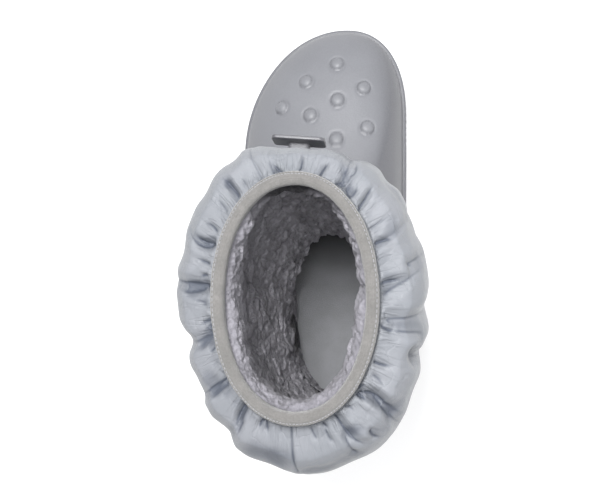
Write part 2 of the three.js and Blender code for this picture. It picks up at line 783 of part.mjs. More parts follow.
// The tab: a rubber plate with plain raised bars, on a short neck whose end follows the shaft
function makeTab(place) {
  const barRise = 0.8;
  const bars = TAB_BARS.map((share) => {
    const bar = uprightBar(0.2 * TAB_WIDTH, 0.6 * TAB_HEIGHT, 2 * barRise, 1.4, 0);
    return bar.translate(share * TAB_WIDTH, TAB_THICKNESS / 2, 0.04 * TAB_HEIGHT);
  });
  const sunk = 5;
  const neck = uprightBar(0.4 * TAB_WIDTH, 0.42 * TAB_HEIGHT, TAB_STAND_OFF + sunk, 2.2, 0);
  neck.translate(0, -(TAB_STAND_OFF + sunk) / 2, -0.2 * TAB_HEIGHT);
  const plate = uprightBar(TAB_WIDTH, TAB_HEIGHT, TAB_THICKNESS, 3, 0.5);
  const whole = [plate, neck, ...bars].map(solid).reduce((sum, part) => sum.add(part));
  const shaft = ringSurface(shaftRings(CLEARANCE), false).applyMatrix4(place.clone().invert());
  return geometryOf(whole.subtract(solid(shaft)));
}

// A named mesh with its own look
function piece(name, geometry) {
  const mesh = new THREE.Mesh(
    geometry,
    new THREE.MeshStandardMaterial({ ...LOOKS[name], metalness: 0 }),
  );
  mesh.name = name;
  return mesh;
}

const clog = new THREE.Group();
clog.add(piece("sole", makeSole()));
clog.add(piece("shell", makeShell()));
clog.add(piece("insole", makeInsole()));

const leg = new THREE.Group();
leg.add(piece("shaft", makeShaft()));

const band = piece("collar_band", makeBand());
band.position.set(COLLAR_ACROSS, COLLAR_ALONG, BOOT_HEIGHT - BAND_HEIGHT);
leg.add(band);

const tab = piece("front_tab", makeTab(tabPlace()));
tab.applyMatrix4(tabPlace());
leg.add(tab);

const boot = new THREE.Group();
boot.add(clog, leg);

export default boot;
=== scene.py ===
# A left winter boot: foam clog, puffy gathered nylon shaft, elastic collar band, pile lining, felt
# insole and a small rubber tab. Lengths are in millimetres until a mesh is made, then in metres.
import math

import bpy
import numpy as np
from mathutils import Matrix, Vector


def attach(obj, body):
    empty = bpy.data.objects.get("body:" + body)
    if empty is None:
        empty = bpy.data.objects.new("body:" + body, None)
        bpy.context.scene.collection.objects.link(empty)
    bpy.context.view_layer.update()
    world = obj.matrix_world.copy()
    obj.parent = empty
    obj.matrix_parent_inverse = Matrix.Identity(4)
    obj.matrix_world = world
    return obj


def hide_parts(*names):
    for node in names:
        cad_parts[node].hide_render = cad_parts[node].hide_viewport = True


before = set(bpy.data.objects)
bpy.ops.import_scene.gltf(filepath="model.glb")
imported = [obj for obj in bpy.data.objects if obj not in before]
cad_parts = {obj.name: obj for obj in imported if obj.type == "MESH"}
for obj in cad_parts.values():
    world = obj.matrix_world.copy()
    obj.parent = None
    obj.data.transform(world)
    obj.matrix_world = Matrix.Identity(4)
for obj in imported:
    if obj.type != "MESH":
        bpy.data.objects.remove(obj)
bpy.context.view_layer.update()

# Form: sizes
CLOG_LENGTH = 264.4
BALL_WIDTH = 114.4
HEEL_REACH = 38.0
RIM_HEIGHT = 27.0
TOE_SPRING = 11.0
ARCH_LIFT = 4.0
INSTEP_RISE = 63.0
THROAT_REACH = 150.0
SHELL_WALL = 3.5
RIM_STEP = 2.6
INSOLE_THICKNESS = 7.0
BOOT_HEIGHT = 236.0
COLLAR_LENGTH = 133.0
COLLAR_WIDTH = 89.0
COLLAR_ACROSS = -9.6
COLLAR_ALONG = 47.0
COLLAR_FULLNESS = 2.08
BAND_WIDTH = 7.2
BAND_HEIGHT = 8.0
BAND_FULLNESS = 3.4
PUFF_SWELL = 30.0
CHANNEL_RISE = 0.45
SEAM_TURN = 178.0
CREASE_REACH = 34
ANKLE_WIDTH = 57.0
ANKLE_LENGTH = 112.0
ANKLE_ACROSS = -4.5
ANKLE_ALONG = 29.0
ANKLE_FULLNESS = 2.15
ANKLE_HEIGHT = 62.0
ANKLE_ARCH = 16.0
HEM_HEIGHT = 36.4
HEM_ARCH = 37.0
TAB_WIDTH = 31
TAB_HEIGHT = 17.0
TAB_THICKNESS = 2.2
TAB_STAND_OFF = 11.2
TAB_CENTRE_HEIGHT = 167.0
TAB_TURN = 10.5
TAB_YAW = -4.5
TAB_LEAN = -10
DOME_RADIUS = 4.6
DOME_RISE = 1.9
TREAD_DEPTH = 3.0
TREAD_PITCH = 13.0
TREAD_GROOVE = 4.0
TREAD_MARGIN = 9.0
RIB_PITCH = 4.5
CLEARANCE = 0.3
INSOLE_CLEARANCE = 0.45

HEEL_END = -HEEL_REACH
TOE_END = CLOG_LENGTH - HEEL_REACH
PLAN_MIDDLE = (TOE_END + HEEL_END) / 2
DOME_POLE = 0.295 * CLOG_LENGTH + HEEL_END
SHAFT_TOP = BOOT_HEIGHT - BAND_HEIGHT - CLEARANCE

OUTLINE_ALONG = [0.0, 0.14, 0.27, 0.4, 0.53, 0.66, 0.8, 1.0]
OUTLINE_LATERAL = [0.34, 0.355, 0.4, 0.475, 0.568, 0.627, 0.632, 0.632]
OUTLINE_MEDIAL = [0.34, 0.345, 0.35, 0.361, 0.37, 0.372, 0.372, 0.372]
UNDER_ALONG = [0.0, 0.05, 0.27, 0.34, 0.4, 0.46, 0.52, 0.76, 0.84, 0.92, 1.0]
UNDER_SPRING = [0.3, -0.06, -0.06, 0, 0, 0, -0.06, -0.06, 0.2, 0.54, 1]
UNDER_ARCH = [0, 0, 0, 0.6, 1, 0.6, 0, 0, 0, 0, 0]
RIM_ALONG = [0.0, 0.25, 0.65, 0.85, 1.0]
RIM_SHARE = [1.02, 0.98, 0.9, 0.9, 0.9]
RIM_SPRING = [0, 0, 0, 0.25, 0.66]
CROWN_ALONG = [0.0, 0.22, 0.37, 0.48, 0.565, 0.67, 0.76, 0.86, 1.0]
CROWN_RISE = [1.75, 1.67, 1.4, 1.15, 1.0, 0.89, 0.82, 0.765, 0.66]
TOPLINE_REACH = [-0.1, 0.03, 0.15, 0.36, 0.55, 0.72, 0.84, 0.93, 1.0, 1.08, 1.2]
TOPLINE_RISE = [0.76, 0.75, 0.69, 0.55, 0.5, 0.55, 0.68, 0.84, 1.0, 1.3, 2]
DOMES = [
    (0.896, -0.023), (0.85, -0.211), (0.831, 0.137), (0.796, -0.017), (0.784, -0.356),
    (0.761, -0.175), (0.726, 0.16), (0.693, -0.015), (0.668, -0.225),
]
PUFF_RISE = [0.0, 0.04, 0.11, 0.22, 0.33, 0.41, 0.45, 0.5, 0.6, 0.75, 0.87, 0.96, 1.0]
PUFF_SHARE = [0, 0.34, 0.57, 0.68, 0.6, 0.44, 0.36, 0.5, 0.84, 1.0, 0.94, 0.68, 0.08]
SIDE_TURN = [0, 16, 30, 60, 90, 120, 150, 180, 210, 240, 270, 300, 330, 345, 360]
SIDE_SHARE = [0.56, 0.68, 0.87, 0.86, 0.91, 0.9, 0.99, 1.01, 0.99, 0.93, 0.86, 0.78, 0.71, 0.61, 0.56]
FOLDS = [
    (10, 0.05, 8), (34, 0.08, 9), (53, 0.05, 8), (77, 0.08, 9), (107, 0.16, 8), (123, 0.07, 8),
    (143, 0.12, 9), (166, 0.07, 12), (198, 0.06, 14), (234, 0.04, 9), (247, 0.13, 8), (261, 0.12, 8),
    (290, 0.11, 12), (313, 0.09, 8), (334, 0.09, 8), (354, 0.05, 8),
]


# Form: curves and surfaces
def smooth(places, values):
    """A smooth curve through a table that never overshoots it."""
    places, values = np.asarray(places, float), np.asarray(values, float)
    spans = np.diff(places)
    slopes = np.diff(values) / spans
    tangents = np.zeros(len(places))
    for i in range(1, len(places) - 1):
        before, after = slopes[i - 1], slopes[i]
        if before * after > 0:
            tangents[i] = 2 * before * after / (before + after)

    def at(place):
        held = np.clip(place, places[0], places[-1])
        row = np.clip(np.searchsorted(places, held, side="left") - 1, 0, len(spans) - 1)
        t = (held - places[row]) / spans[row]
        leave, arrive = tangents[row] * spans[row], tangents[row + 1] * spans[row]
        change = values[row + 1] - values[row]
        bend = 3 * change - 2 * leave - arrive
        return values[row] + t * (leave + t * (bend + t * (leave + arrive - 2 * change)))

    return at


outline_lateral = smooth(OUTLINE_ALONG, OUTLINE_LATERAL)
outline_medial = smooth(OUTLINE_ALONG, OUTLINE_MEDIAL)
under_spring = smooth(UNDER_ALONG, UNDER_SPRING)
under_arch = smooth(UNDER_ALONG, UNDER_ARCH)
rim_share = smooth(RIM_ALONG, RIM_SHARE)
rim_spring = smooth(RIM_ALONG, RIM_SPRING)
crown_share = smooth(CROWN_ALONG, CROWN_RISE)
topline_share = smooth(TOPLINE_REACH, TOPLINE_RISE)
puff_share = smooth(PUFF_RISE, PUFF_SHARE)
side_share = smooth(SIDE_TURN, SIDE_SHARE)
share_along = lambda y: (y - HEEL_END) / CLOG_LENGTH


def underside(y):
    along = share_along(y)
    return under_spring(along) * TOE_SPRING + under_arch(along) * ARCH_LIFT


def rim_height(y):
    along = share_along(y)
    return rim_share(along) * RIM_HEIGHT + rim_spring(along) * TOE_SPRING


def topline(y):
    return rim_height(y) + topline_share((y - HEEL_END) / THROAT_REACH) * INSTEP_RISE


def end_share(distance, reach, power):
    gone = np.clip((reach - np.maximum(distance, 0)) / reach, 0, 1)
    return (1 - gone**power) ** (1 / power)


def half_width(medial, y, inset):
    along = share_along(y)
    full = np.where(medial, outline_medial(along), outline_lateral(along)) * BALL_WIDTH - inset
    reach = np.where(medial, 0.225, 0.335) * CLOG_LENGTH - inset
    toe = end_share(TOE_END - inset - y, reach, np.where(medial, 2.3, 1.94))
    heel = end_share(y - HEEL_END - inset, 0.143 * CLOG_LENGTH - inset, 2.15)
    return full * toe * heel


def outline_point(turn, inset):
    y = PLAN_MIDDLE + np.cos(turn) * (CLOG_LENGTH / 2 - inset)
    medial = np.sin(turn) <= 0
    x = np.where(medial, 1, -1) * half_width(medial, y, inset)
    return np.where(np.abs(np.sin(turn)) < 1e-9, 0.0, x), y


def arch_shares(turn, climb):
    toe = np.cos(turn) > 0
    lateral = np.sin(turn) > 0
    sideways = np.sin(turn) ** 2
    end_across, end_up = np.where(toe, 2.7, 3.0), 2.2
    side_across, side_up = np.where(lateral, 2.1, 2.7), np.where(lateral, 1.9, 2.1)
    across = end_across + (side_across - end_across) * sideways
    up = end_up + (side_up - end_up) * sideways
    angle = climb * math.pi / 2
    return np.maximum(np.cos(angle), 0) ** (2 / across), np.sin(angle) ** (2 / up)


def shell_point(turn, climb, inset):
    x, y = outline_point(turn, RIM_STEP + inset)
    across, up = arch_shares(turn, climb)
    y = DOME_POLE + (y - DOME_POLE) * across
    rise = crown_share(share_along(y)) * INSTEP_RISE - inset
    return np.stack([x * across, y, rim_height(y) + CLEARANCE + rise * up], -1)


def climb_while(turn, inset, below):
    low, high = np.zeros_like(turn), np.ones_like(turn)
    for _ in range(40):
        middle = (low + high) / 2
        under = below(shell_point(turn, middle, inset))
        low, high = np.where(under, middle, low), np.where(under, high, middle)
    return low


def opening_climb(turn, inset):
    return climb_while(turn, inset, lambda p: p[..., 2] < topline(p[..., 1]))


def off_turn(degrees, middle):
    """Degrees from a middle, from -180 to 180."""
    return (degrees - middle + 540) % 360 - 180


def oval_shares(turn, fullness):
    """Across and along shares of an oval; a fullness of 2 is an ellipse."""
    across, along = np.sin(turn), np.cos(turn)
    power = 2 / fullness
    return np.sign(across) * np.abs(across) ** power, np.sign(along) * np.abs(along) ** power


def collar_point(turn, inset, z):
    across, along = oval_shares(turn, COLLAR_FULLNESS)
    x = COLLAR_ACROSS - across * (COLLAR_WIDTH / 2 - inset)
    y = COLLAR_ALONG + along * (COLLAR_LENGTH / 2 - inset)
    return np.stack([x, y, np.zeros_like(x) + z], -1)


def fold_depth(turn):
    degrees = np.degrees(turn)
    total = np.zeros_like(degrees)
    for at, depth, spread in FOLDS:
        away = np.abs(off_turn(degrees, at)) / spread
        total += np.where(away < 1, depth * (0.5 + 0.5 * np.cos(np.minimum(away, 1) * math.pi)), 0)
    return total


def shaft_outside(turn, rise):
    """Outer face of the shaft: rows follow rise, columns follow turn."""
    foot = shell_point(turn, opening_climb(turn, 0.0), 0.0) + [0, 0, CLEARANCE]
    head = collar_point(turn, 1.0, SHAFT_TOP)
    share = side_share(np.degrees(turn) % 360)
    out = np.stack([-np.sin(turn) * share, np.cos(turn) * share, np.zeros_like(turn)], -1)
    rise = np.asarray(rise, float)[:, None]
    pressed = fold_depth(turn)[None, :] * np.minimum(rise / 0.6, 1)
    swell = puff_share(rise) * (1 - pressed) * PUFF_SWELL
    base = foot[None] + (head - foot)[None] * rise[..., None]
    return base + out[None] * swell[..., None]


# Form: end
def turns(count):
    return np.arange(count) / count * 2 * math.pi


def ramp(x, low, high):
    t = np.clip((x - low) / (high - low), 0, 1)
    return t * t * (3 - 2 * t)


def bell(away, width):
    return np.exp(-((away / width) ** 2))


def walked_up(grid):
    """Length walked from the first row of a grid to each of its points."""
    steps = np.linalg.norm(np.diff(grid, axis=0), axis=-1)
    return np.concatenate([np.zeros((1, grid.shape[1])), np.cumsum(steps, 0)])


def normals_of(points):
    """Outward directions on a grid of points whose columns run anticlockwise and rows upward."""
    across = np.roll(points, -1, 1) - np.roll(points, 1, 1)
    up = np.gradient(points, axis=0)
    facing = np.cross(across, up)
    size = np.linalg.norm(facing, axis=-1, keepdims=True)
    return facing / np.maximum(size, 1e-9)


def hashed(i, j, salt):
    """A number from 0 to 1 for each whole place on a lattice."""
    n = (i * 374761393 + j * 668265263 + salt * 2147483647) & 0xFFFFFFFF
    n = ((n ^ (n >> 13)) * 1274126177) & 0xFFFFFFFF
    return ((n ^ (n >> 16)) & 0xFFFFFF) / float(0xFFFFFF)


def lattice(u, v, cell_u, cell_v, round_u):
    """Places on a lattice that closes on itself round the boot, and the whole numbers below them."""
    count = max(int(round(round_u / cell_u)), 3)
    a, b = u / round_u * count, v / cell_v
    return count, a, b, np.floor(a).astype(np.int64), np.floor(b).astype(np.int64)


def value_noise(u, v, cell_u, cell_v, round_u, salt):
    """Smooth noise from -1 to 1 over a lattice."""
    count, a, b, i, j = lattice(u, v, cell_u, cell_v, round_u)
    s, t = a - i, b - j
    s, t = s * s * (3 - 2 * s), t * t * (3 - 2 * t)
    at = lambda p, q: hashed((i + p) % count, j + q + 4096, salt)
    low = at(0, 0) * (1 - s) + at(1, 0) * s
    high = at(0, 1) * (1 - s) + at(1, 1) * s
    return (low * (1 - t) + high * t) * 2 - 1


def tufts(u, v, cell_u, cell_v, round_u, salt):
    """Distance to the nearest tuft's middle, in tufts, and that tuft's own number."""
    count, a, b, i, j = lattice(u, v, cell_u, cell_v, round_u)
    best = np.full(a.shape, 9.0)
    own = np.zeros(a.shape)
    for p in (-1, 0, 1):
        for q in (-1, 0, 1):
            ci, cj = (i + p) % count, j + q + 4096
            x = i + p + 0.15 + 0.7 * hashed(ci, cj, salt)
            y = j + q + 0.15 + 0.7 * hashed(ci, cj, salt + 7)
            away = np.hypot(a - x, b - y)
            own = np.where(away < best, hashed(ci, cj, salt + 13), own)
            best = np.minimum(best, away)
    return best, own


# Meshes
def make_object(name, points, faces, paint, slot, node=None, uv=None, round_u=0.0, shade=None,
                near=None):
    """A mesh object from points in millimetres and a list of face arrays. A cloth of quads that closes on
    itself gives the length round it."""
    mesh = bpy.data.meshes.new(name)
    points = np.asarray(points, float).reshape(-1, 3) / 1000
    loops = np.concatenate([np.asarray(f, np.int64).ravel() for f in faces])
    sizes = np.concatenate([np.full(len(f), np.asarray(f).shape[1]) for f in faces])
    mesh.vertices.add(len(points))
    mesh.vertices.foreach_set("co", points.ravel())
    mesh.loops.add(len(loops))
    mesh.loops.foreach_set("vertex_index", loops)
    mesh.polygons.add(len(sizes))
    mesh.polygons.foreach_set("loop_start", np.concatenate([[0], np.cumsum(sizes)[:-1]]))
    mesh.polygons.foreach_set("use_smooth", np.ones(len(sizes), bool))
    mesh.update(calc_edges=True)
    mesh.validate()
    if uv is not None:
        layer = mesh.uv_layers.new(name="cloth")
        index = np.empty(len(mesh.loops), np.int64)
        mesh.loops.foreach_get("vertex_index", index)
        flat = np.asarray(uv).reshape(-1, 2)[index]
        if round_u:
            across = flat[:, 0].reshape(-1, 4)
            split = np.ptp(across, axis=1)[:, None] > round_u / 2
            across += round_u * (split & (across < round_u / 2))
            flat[:, 0] = across.ravel()
        layer.data.foreach_set("uv", (flat / 1000).ravel())
    # Attributes the materials read: painted shade mixed into the colour, and a nearness share that paints
    # shade on the pile and fades the nylon's wrinkles
    for field, values in (("painted_shade", shade), ("near", near)):
        if values is not None:
            layer = mesh.attributes.new(field, "FLOAT", "POINT")
            layer.data.foreach_set("value", np.asarray(values, float).ravel())
    mesh.materials.append(paint)
    made = bpy.data.objects.new(name, mesh)
    bpy.context.scene.collection.objects.link(made)
    if node:
        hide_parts(node)
    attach(made, "root")
    return made


def grid_faces(rows, columns, joined=False, start=0):
    """Quads of a grid that closes round its columns, and round its rows if joined."""
    r = np.arange(rows if joined else rows - 1)
    c = np.arange(columns)
    below = (r * columns)[:, None]
    above = (((r + 1) % rows) * columns)[:, None]
    nxt = ((c + 1) % columns)[None]
    c = c[None]
    quads = np.stack([below + c, below + nxt, above + nxt, above + c], -1)
    return quads.reshape(-1, 4) + start


def cap_faces(ring_start, columns, middle, up):
    c = np.arange(columns)
    nxt = (c + 1) % columns
    tip = np.full(columns, middle)
    a, b = ring_start + c, ring_start + nxt
    return np.stack([tip, a, b] if up else [tip, b, a], -1)


def by_corners(faces):
    """Face arrays joined to one of quads and one of triangles."""
    return [np.concatenate([f for f in faces if f.shape[1] == corners]) for corners in (4, 3)]


def closed_tube(name, grid, **rest):
    """A surface of rings, closed at both ends by a fan."""
    rows, columns = grid.shape[:2]
    points = np.concatenate([grid.reshape(-1, 3), grid[0].mean(0)[None], grid[-1].mean(0)[None]])
    last = rows * columns
    faces = [
        grid_faces(rows, columns),
        cap_faces(0, columns, last, False),
        cap_faces((rows - 1) * columns, columns, last + 1, True),
    ]
    return make_object(name, points, faces, **rest)


def strokes(name, starts, ends, radius, **rest):
    """Short threads with round ends, one from each start to its end."""
    sides, points, faces = 6, [], []
    for k, (a, b) in enumerate(zip(starts, ends)):
        a, b = np.asarray(a, float), np.asarray(b, float)
        along = (b - a) / max(np.linalg.norm(b - a), 1e-6)
        side = np.cross(along, [0.3, 0.2, 0.9])
        side /= np.linalg.norm(side)
        other = np.cross(along, side)
        rings = []
        for share, size in ((-0.06, 0.45), (0.12, 1.0), (0.5, 1.12), (0.88, 1.0), (1.06, 0.45)):
            middle = a + (b - a) * share
            angle = turns(sides)[:, None]
            rings.append(middle + (np.cos(angle) * side + np.sin(angle) * other) * radius * size)
        base = k * (len(rings) * sides + 2)
        points.append(np.concatenate([*rings, rings[0].mean(0)[None], rings[-1].mean(0)[None]]))
        faces.append(grid_faces(len(rings), sides, start=base))
        tip = base + len(rings) * sides
        faces.append(
            np.concatenate([
                cap_faces(base, sides, tip, False),
                cap_faces(base + (len(rings) - 1) * sides, sides, tip + 1, True),
            ])
        )
    return make_object(name, np.concatenate(points), by_corners(faces), **rest)


# Materials
def linear(r, g, b):
    part = lambda c: c / 12.92 if c <= 0.04045 else ((c + 0.055) / 1.055) ** 2.4
    return (part(r / 255), part(g / 255), part(b / 255), 1)


class Paint:
    """A node material with short calls for its usual nodes."""

    def __init__(self, name, roughness, **sockets):
        self.material = bpy.data.materials.new(name)
        self.material.use_nodes = True
        self.tree = self.material.node_tree
        self.shader = self.tree.nodes["Principled BSDF"]
        self.shader.inputs["Roughness"].default_value = roughness
        for socket, value in sockets.items():
            self.shader.inputs[socket.replace("_", " ")].default_value = value
        self.height = None

    def node(self, kind, values=None, **props):
        made = self.tree.nodes.new("ShaderNode" + kind)
        for key, value in props.items():
            setattr(made, key, value)
        for key, value in (values or {}).items():
            made.inputs[key].default_value = value
        return made

    def link(self, a, b):
        self.tree.links.new(a, b)

    def place(self, scale=(1, 1, 1), uv=False, turn=0.0):
        coords = self.node("UVMap", uv_map="cloth") if uv else self.node("TexCoord")
        mapping = self.node("Mapping")
        mapping.inputs["Scale"].default_value = scale
        mapping.inputs["Rotation"].default_value = (0, 0, turn)
        self.link(coords.outputs["UV" if uv else "Object"], mapping.inputs["Vector"])
        return mapping.outputs["Vector"]

    def noise(self, scale, detail=3.0, rough=0.5, vector=None, distortion=0.0):
        made = self.node("TexNoise", {"Scale": scale, "Detail": detail, "Roughness": rough,
                                      "Distortion": distortion})
        self.link(vector if vector is not None else self.place(), made.inputs["Vector"])
        return made.outputs["Fac"]

    def ridges(self, vector, scale, wide):
        """Thin folds: 0 along the middle line of a noise and 1 away from it."""
        noise = self.noise(scale, 2, 0.45, vector, 0.3)
        away = self.maths("ABSOLUTE", self.maths("SUBTRACT", noise, 0.5), 0)
        made = self.node("MapRange", {"From Max": wide}, interpolation_type="SMOOTHERSTEP")
        self.link(away, made.inputs["Value"])
        return made.outputs["Result"]

    def cells(self, scale, vector=None):
        made = self.node("TexVoronoi", {"Scale": scale})
        self.link(vector if vector is not None else self.place(), made.inputs["Vector"])
        return made.outputs["Distance"]

    def wave(self, scale, vector, direction, distortion):
        made = self.node("TexWave", {"Scale": scale, "Distortion": distortion}, bands_direction=direction)
        self.link(vector, made.inputs["Vector"])
        return made.outputs["Fac"]

    def maths(self, operation, a, b):
        made = self.node("Math", operation=operation)
        for socket, value in zip(made.inputs, (a, b)):
            if isinstance(value, (int, float)):
                socket.default_value = value
            else:
                self.link(value, socket)
        return made.outputs[0]

    def span(self, value, low, high, to_low=0.0, to_high=1.0):
        made = self.node("MapRange", {"From Min": low, "From Max": high, "To Min": to_low,
                                      "To Max": to_high})
        self.link(value, made.inputs["Value"])
        return made.outputs["Result"]

    def mix(self, factor, a, b, blend="MIX"):
        made = self.node("Mix", data_type="RGBA", blend_type=blend)
        if isinstance(factor, (int, float)):
            made.inputs[0].default_value = factor
        else:
            self.link(factor, made.inputs[0])
        for socket, value in ((made.inputs[6], a), (made.inputs[7], b)):
            if isinstance(value, tuple):
                socket.default_value = value
            else:
                self.link(value, socket)
        return made.outputs[2]

    def attribute(self, name):
        return self.node("Attribute", attribute_name=name).outputs["Fac"]

    def colour(self, value):
        self.link(value, self.shader.inputs["Base Color"])

    def roughness(self, value):
        self.link(value, self.shader.inputs["Roughness"])

    def bump(self, height, distance, strength=1.0):
        made = self.node("Bump", {"Distance": distance, "Strength": strength})
        self.link(height, made.inputs["Height"])
        if self.height is not None:
            self.link(self.height, made.inputs["Normal"])
        self.height = made.outputs["Normal"]
        self.link(self.height, self.shader.inputs["Normal"])


def foam_paint(name, light, dark):
    paint = Paint(name, 0.45, Specular_IOR_Level=0.42)
    cloud = paint.noise(14, 4, 0.55)
    grain = paint.noise(900, 3, 0.6)
    pores = paint.cells(1500)
    tone = paint.mix(paint.span(cloud, 0.35, 0.65), dark, light)
    speck = paint.span(grain, 0.35, 0.65)
    # Painted shade on steep and shaded faces, round the domes and along the sole's ledge
    shade = paint.span(paint.attribute("painted_shade"), 0, 1, 0, 0.5)
    tone = paint.mix(shade, tone, linear(62, 62, 67))
    tone = paint.mix(paint.maths("MULTIPLY", speck, 0.1), tone, linear(142, 143, 147))
    scuff = paint.span(paint.noise(60, 6, 0.7), 0.62, 0.78, 0, 0.16)
    paint.colour(paint.mix(scuff, tone, linear(88, 89, 94)))
    paint.roughness(paint.span(cloud, 0.3, 0.7, 0.42, 0.54))
    paint.bump(grain, 0.00016, 0.5)
    paint.bump(pores, 0.0001, 0.35)
    return paint.material


def nylon_paint():
    paint = Paint("satin_nylon", 0.36, Specular_IOR_Level=0.32)
    cloth = paint.place(uv=True)
    soft = paint.noise(22, 4, 0.5, cloth)
    tone = paint.mix(paint.span(soft, 0.3, 0.7), linear(121, 124, 129), linear(131, 133, 138))
    # Painted shade in creases, gathers, the channel, the seam and where the cloth falls away
    painted_shade = paint.attribute("painted_shade")
    tone = paint.mix(paint.span(painted_shade, 0.1, 1.0, 0, 0.85), tone, linear(62, 68, 80))
    warp = paint.wave(1250, cloth, "X", 0.4)
    weft = paint.wave(1100, cloth, "Y", 0.4)
    weave = paint.maths("ADD", warp, weft)
    tone = paint.mix(paint.span(weave, 0.2, 1.8, 0, 0.08), tone, linear(163, 166, 172))
    paint.colour(tone)
    paint.roughness(paint.span(soft, 0.3, 0.7, 0.3, 0.42))
    near = paint.attribute("near")
    pulled = paint.ridges(paint.place((230, 42, 1), uv=True), 1, 0.10)
    paint.bump(paint.maths("MULTIPLY", pulled, near), 0.00055, 0.7)
    crinkled = paint.ridges(paint.place((40, 70, 1), uv=True, turn=0.5), 1, 0.04)
    paint.bump(crinkled, 0.0002, 0.6)
    paint.bump(weave, 0.00006, 0.5)
    return paint.material


def band_paint():
    paint = Paint("brushed_band", 0.85, Sheen_Weight=0.5, Sheen_Roughness=0.5, Specular_IOR_Level=0.3)
    cloth = paint.place(uv=True)
    knit = paint.wave(620, cloth, "X", 1.2)
    course = paint.wave(480, cloth, "Y", 1.0)
    fuzz = paint.noise(900, 5, 0.7)
    mottle = paint.noise(120, 4, 0.6)
    tone = paint.mix(paint.span(mottle, 0.3, 0.7), linear(112, 111, 109), linear(127, 125, 123))
    tone = paint.mix(paint.span(fuzz, 0.34, 0.66, 0, 0.55), tone, linear(92, 90, 88))
    paint.colour(tone)
    paint.bump(paint.maths("ADD", knit, course), 0.00025, 0.5)
    paint.bump(fuzz, 0.0006, 0.6)
    return paint.material


def pile_paint():
    paint = Paint("pile_lining", 0.95, Sheen_Weight=0.08, Sheen_Roughness=0.6, Specular_IOR_Level=0.08)
    painted_shade = paint.attribute("painted_shade")
    near = paint.attribute("near")
    fluff = paint.noise(520, 6, 0.7)
    curls = paint.cells(420, paint.place((1, 1, 0.55)))
    tone = paint.mix(paint.span(fluff, 0.3, 0.7), linear(143, 141, 147), linear(164, 162, 168))
    # Painted shade between the tufts and under the band, and painted light where that shade is taken away
    tone = paint.mix(paint.span(painted_shade, 0.1, 1.5, 0, 0.94), tone, linear(27, 26, 29))
    # Painted shade by the nearness share: under the band and over the toe box
    paint.colour(paint.mix(near, tone, linear(205, 205, 208), "MULTIPLY"))
    paint.bump(curls, 0.0014, 0.7)
    paint.bump(fluff, 0.0008, 0.6)
    return paint.material


def felt_paint():
    paint = Paint("insole_felt", 0.97, Sheen_Weight=0.15, Sheen_Roughness=0.6, Specular_IOR_Level=0.1)
    fine = paint.noise(1400, 5, 0.7)
    blot = paint.noise(60, 4, 0.6)
    tone = paint.mix(paint.span(blot, 0.3, 0.7), linear(118, 119, 121), linear(128, 129, 132))
    # Painted shade, deepening to near black towards the toe
    tone = paint.mix(paint.span(paint.attribute("painted_shade"), 0, 1, 0, 0.97), tone, linear(5, 5, 6))
    paint.colour(paint.mix(paint.span(fine, 0.35, 0.65, 0, 0.25), tone, linear(100, 101, 104)))
    paint.bump(fine, 0.0005, 0.6)
    return paint.material


def rubber_paint():
    paint = Paint("tab_rubber", 0.42, Specular_IOR_Level=0.5)
    fine = paint.noise(1200, 3, 0.6)
    cloud = paint.noise(80, 3, 0.5)
    tone = paint.mix(paint.span(cloud, 0.3, 0.7), linear(85, 85, 89), linear(94, 94, 98))
    paint.colour(tone)
    paint.roughness(paint.span(cloud, 0.3, 0.7, 0.36, 0.5))
    paint.bump(fine, 0.0001, 0.5)
    return paint.material


def thread_paint():
    paint = Paint("thread", 0.6, Sheen_Weight=0.3)
    twist = paint.wave(2600, paint.place(), "DIAGONAL", 0.5)
    paint.colour(paint.mix(twist, linear(132, 132, 136), linear(156, 157, 161)))
    paint.bump(twist, 0.00012, 0.6)
    return paint.material


def floor_paint():
    paint = Paint("floor", 0.9, Specular_IOR_Level=0.1, Emission_Color=(1, 1, 1, 1), Emission_Strength=0.55)
    soft = paint.noise(3, 2, 0.5)
    paint.colour(paint.mix(paint.span(soft, 0.3, 0.7), linear(186, 186, 186), linear(189, 189, 189)))
    return paint.material


# Camera: above the boot, where the photo was taken from, and turned to the one boot
FOCAL_PIXELS = 1130.0
camera_data = bpy.data.cameras.new("camera")
camera_data.sensor_width = 36.0
camera_data.lens = FOCAL_PIXELS * 36.0 / 600.0
camera_data.clip_start, camera_data.clip_end = 0.05, 20
camera = bpy.data.objects.new("camera", camera_data)
bpy.context.scene.collection.objects.link(camera)
look = Vector(((169.5 - 300) / 1066, (252 - 251) / 1066, -1)).normalized()
side = Vector((0, 1, 0)).cross(-look).normalized()
upward = (-look).cross(side).normalized()
turned = Matrix((side, upward, -look)).transposed().to_4x4()
camera.matrix_world = Matrix.Translation((0.065, 0.0708, 0.818)) @ turned
bpy.context.scene.camera = camera


# Sole
def tread_places():
    zones = [(0.06, 0.26), (0.54, 0.93)]
    places = []
    for start, end in zones:
        low, high = HEEL_END + start * CLOG_LENGTH, HEEL_END + end * CLOG_LENGTH
        grooves = math.floor((high - low) / TREAD_PITCH)
        first = (low + high - grooves * TREAD_PITCH) / 2
        places += [first + i * TREAD_PITCH for i in range(grooves + 1)]
    return places


def tread_lift(x, y):
    """How far the underside is cut in by the chevron grooves."""
    lift = np.zeros_like(x)
    for place in tread_places():
        away = np.abs(y - (place - 0.16 * np.abs(x)))
        lift = np.maximum(lift, 1 - ramp(away, TREAD_GROOVE / 2 - 0.45, TREAD_GROOVE / 2 + 0.45))
    medial = x > 0
    edge = half_width(medial, y, TREAD_MARGIN)
    return TREAD_DEPTH * lift * (1 - ramp(np.abs(x), edge - 0.6, edge + 0.6))


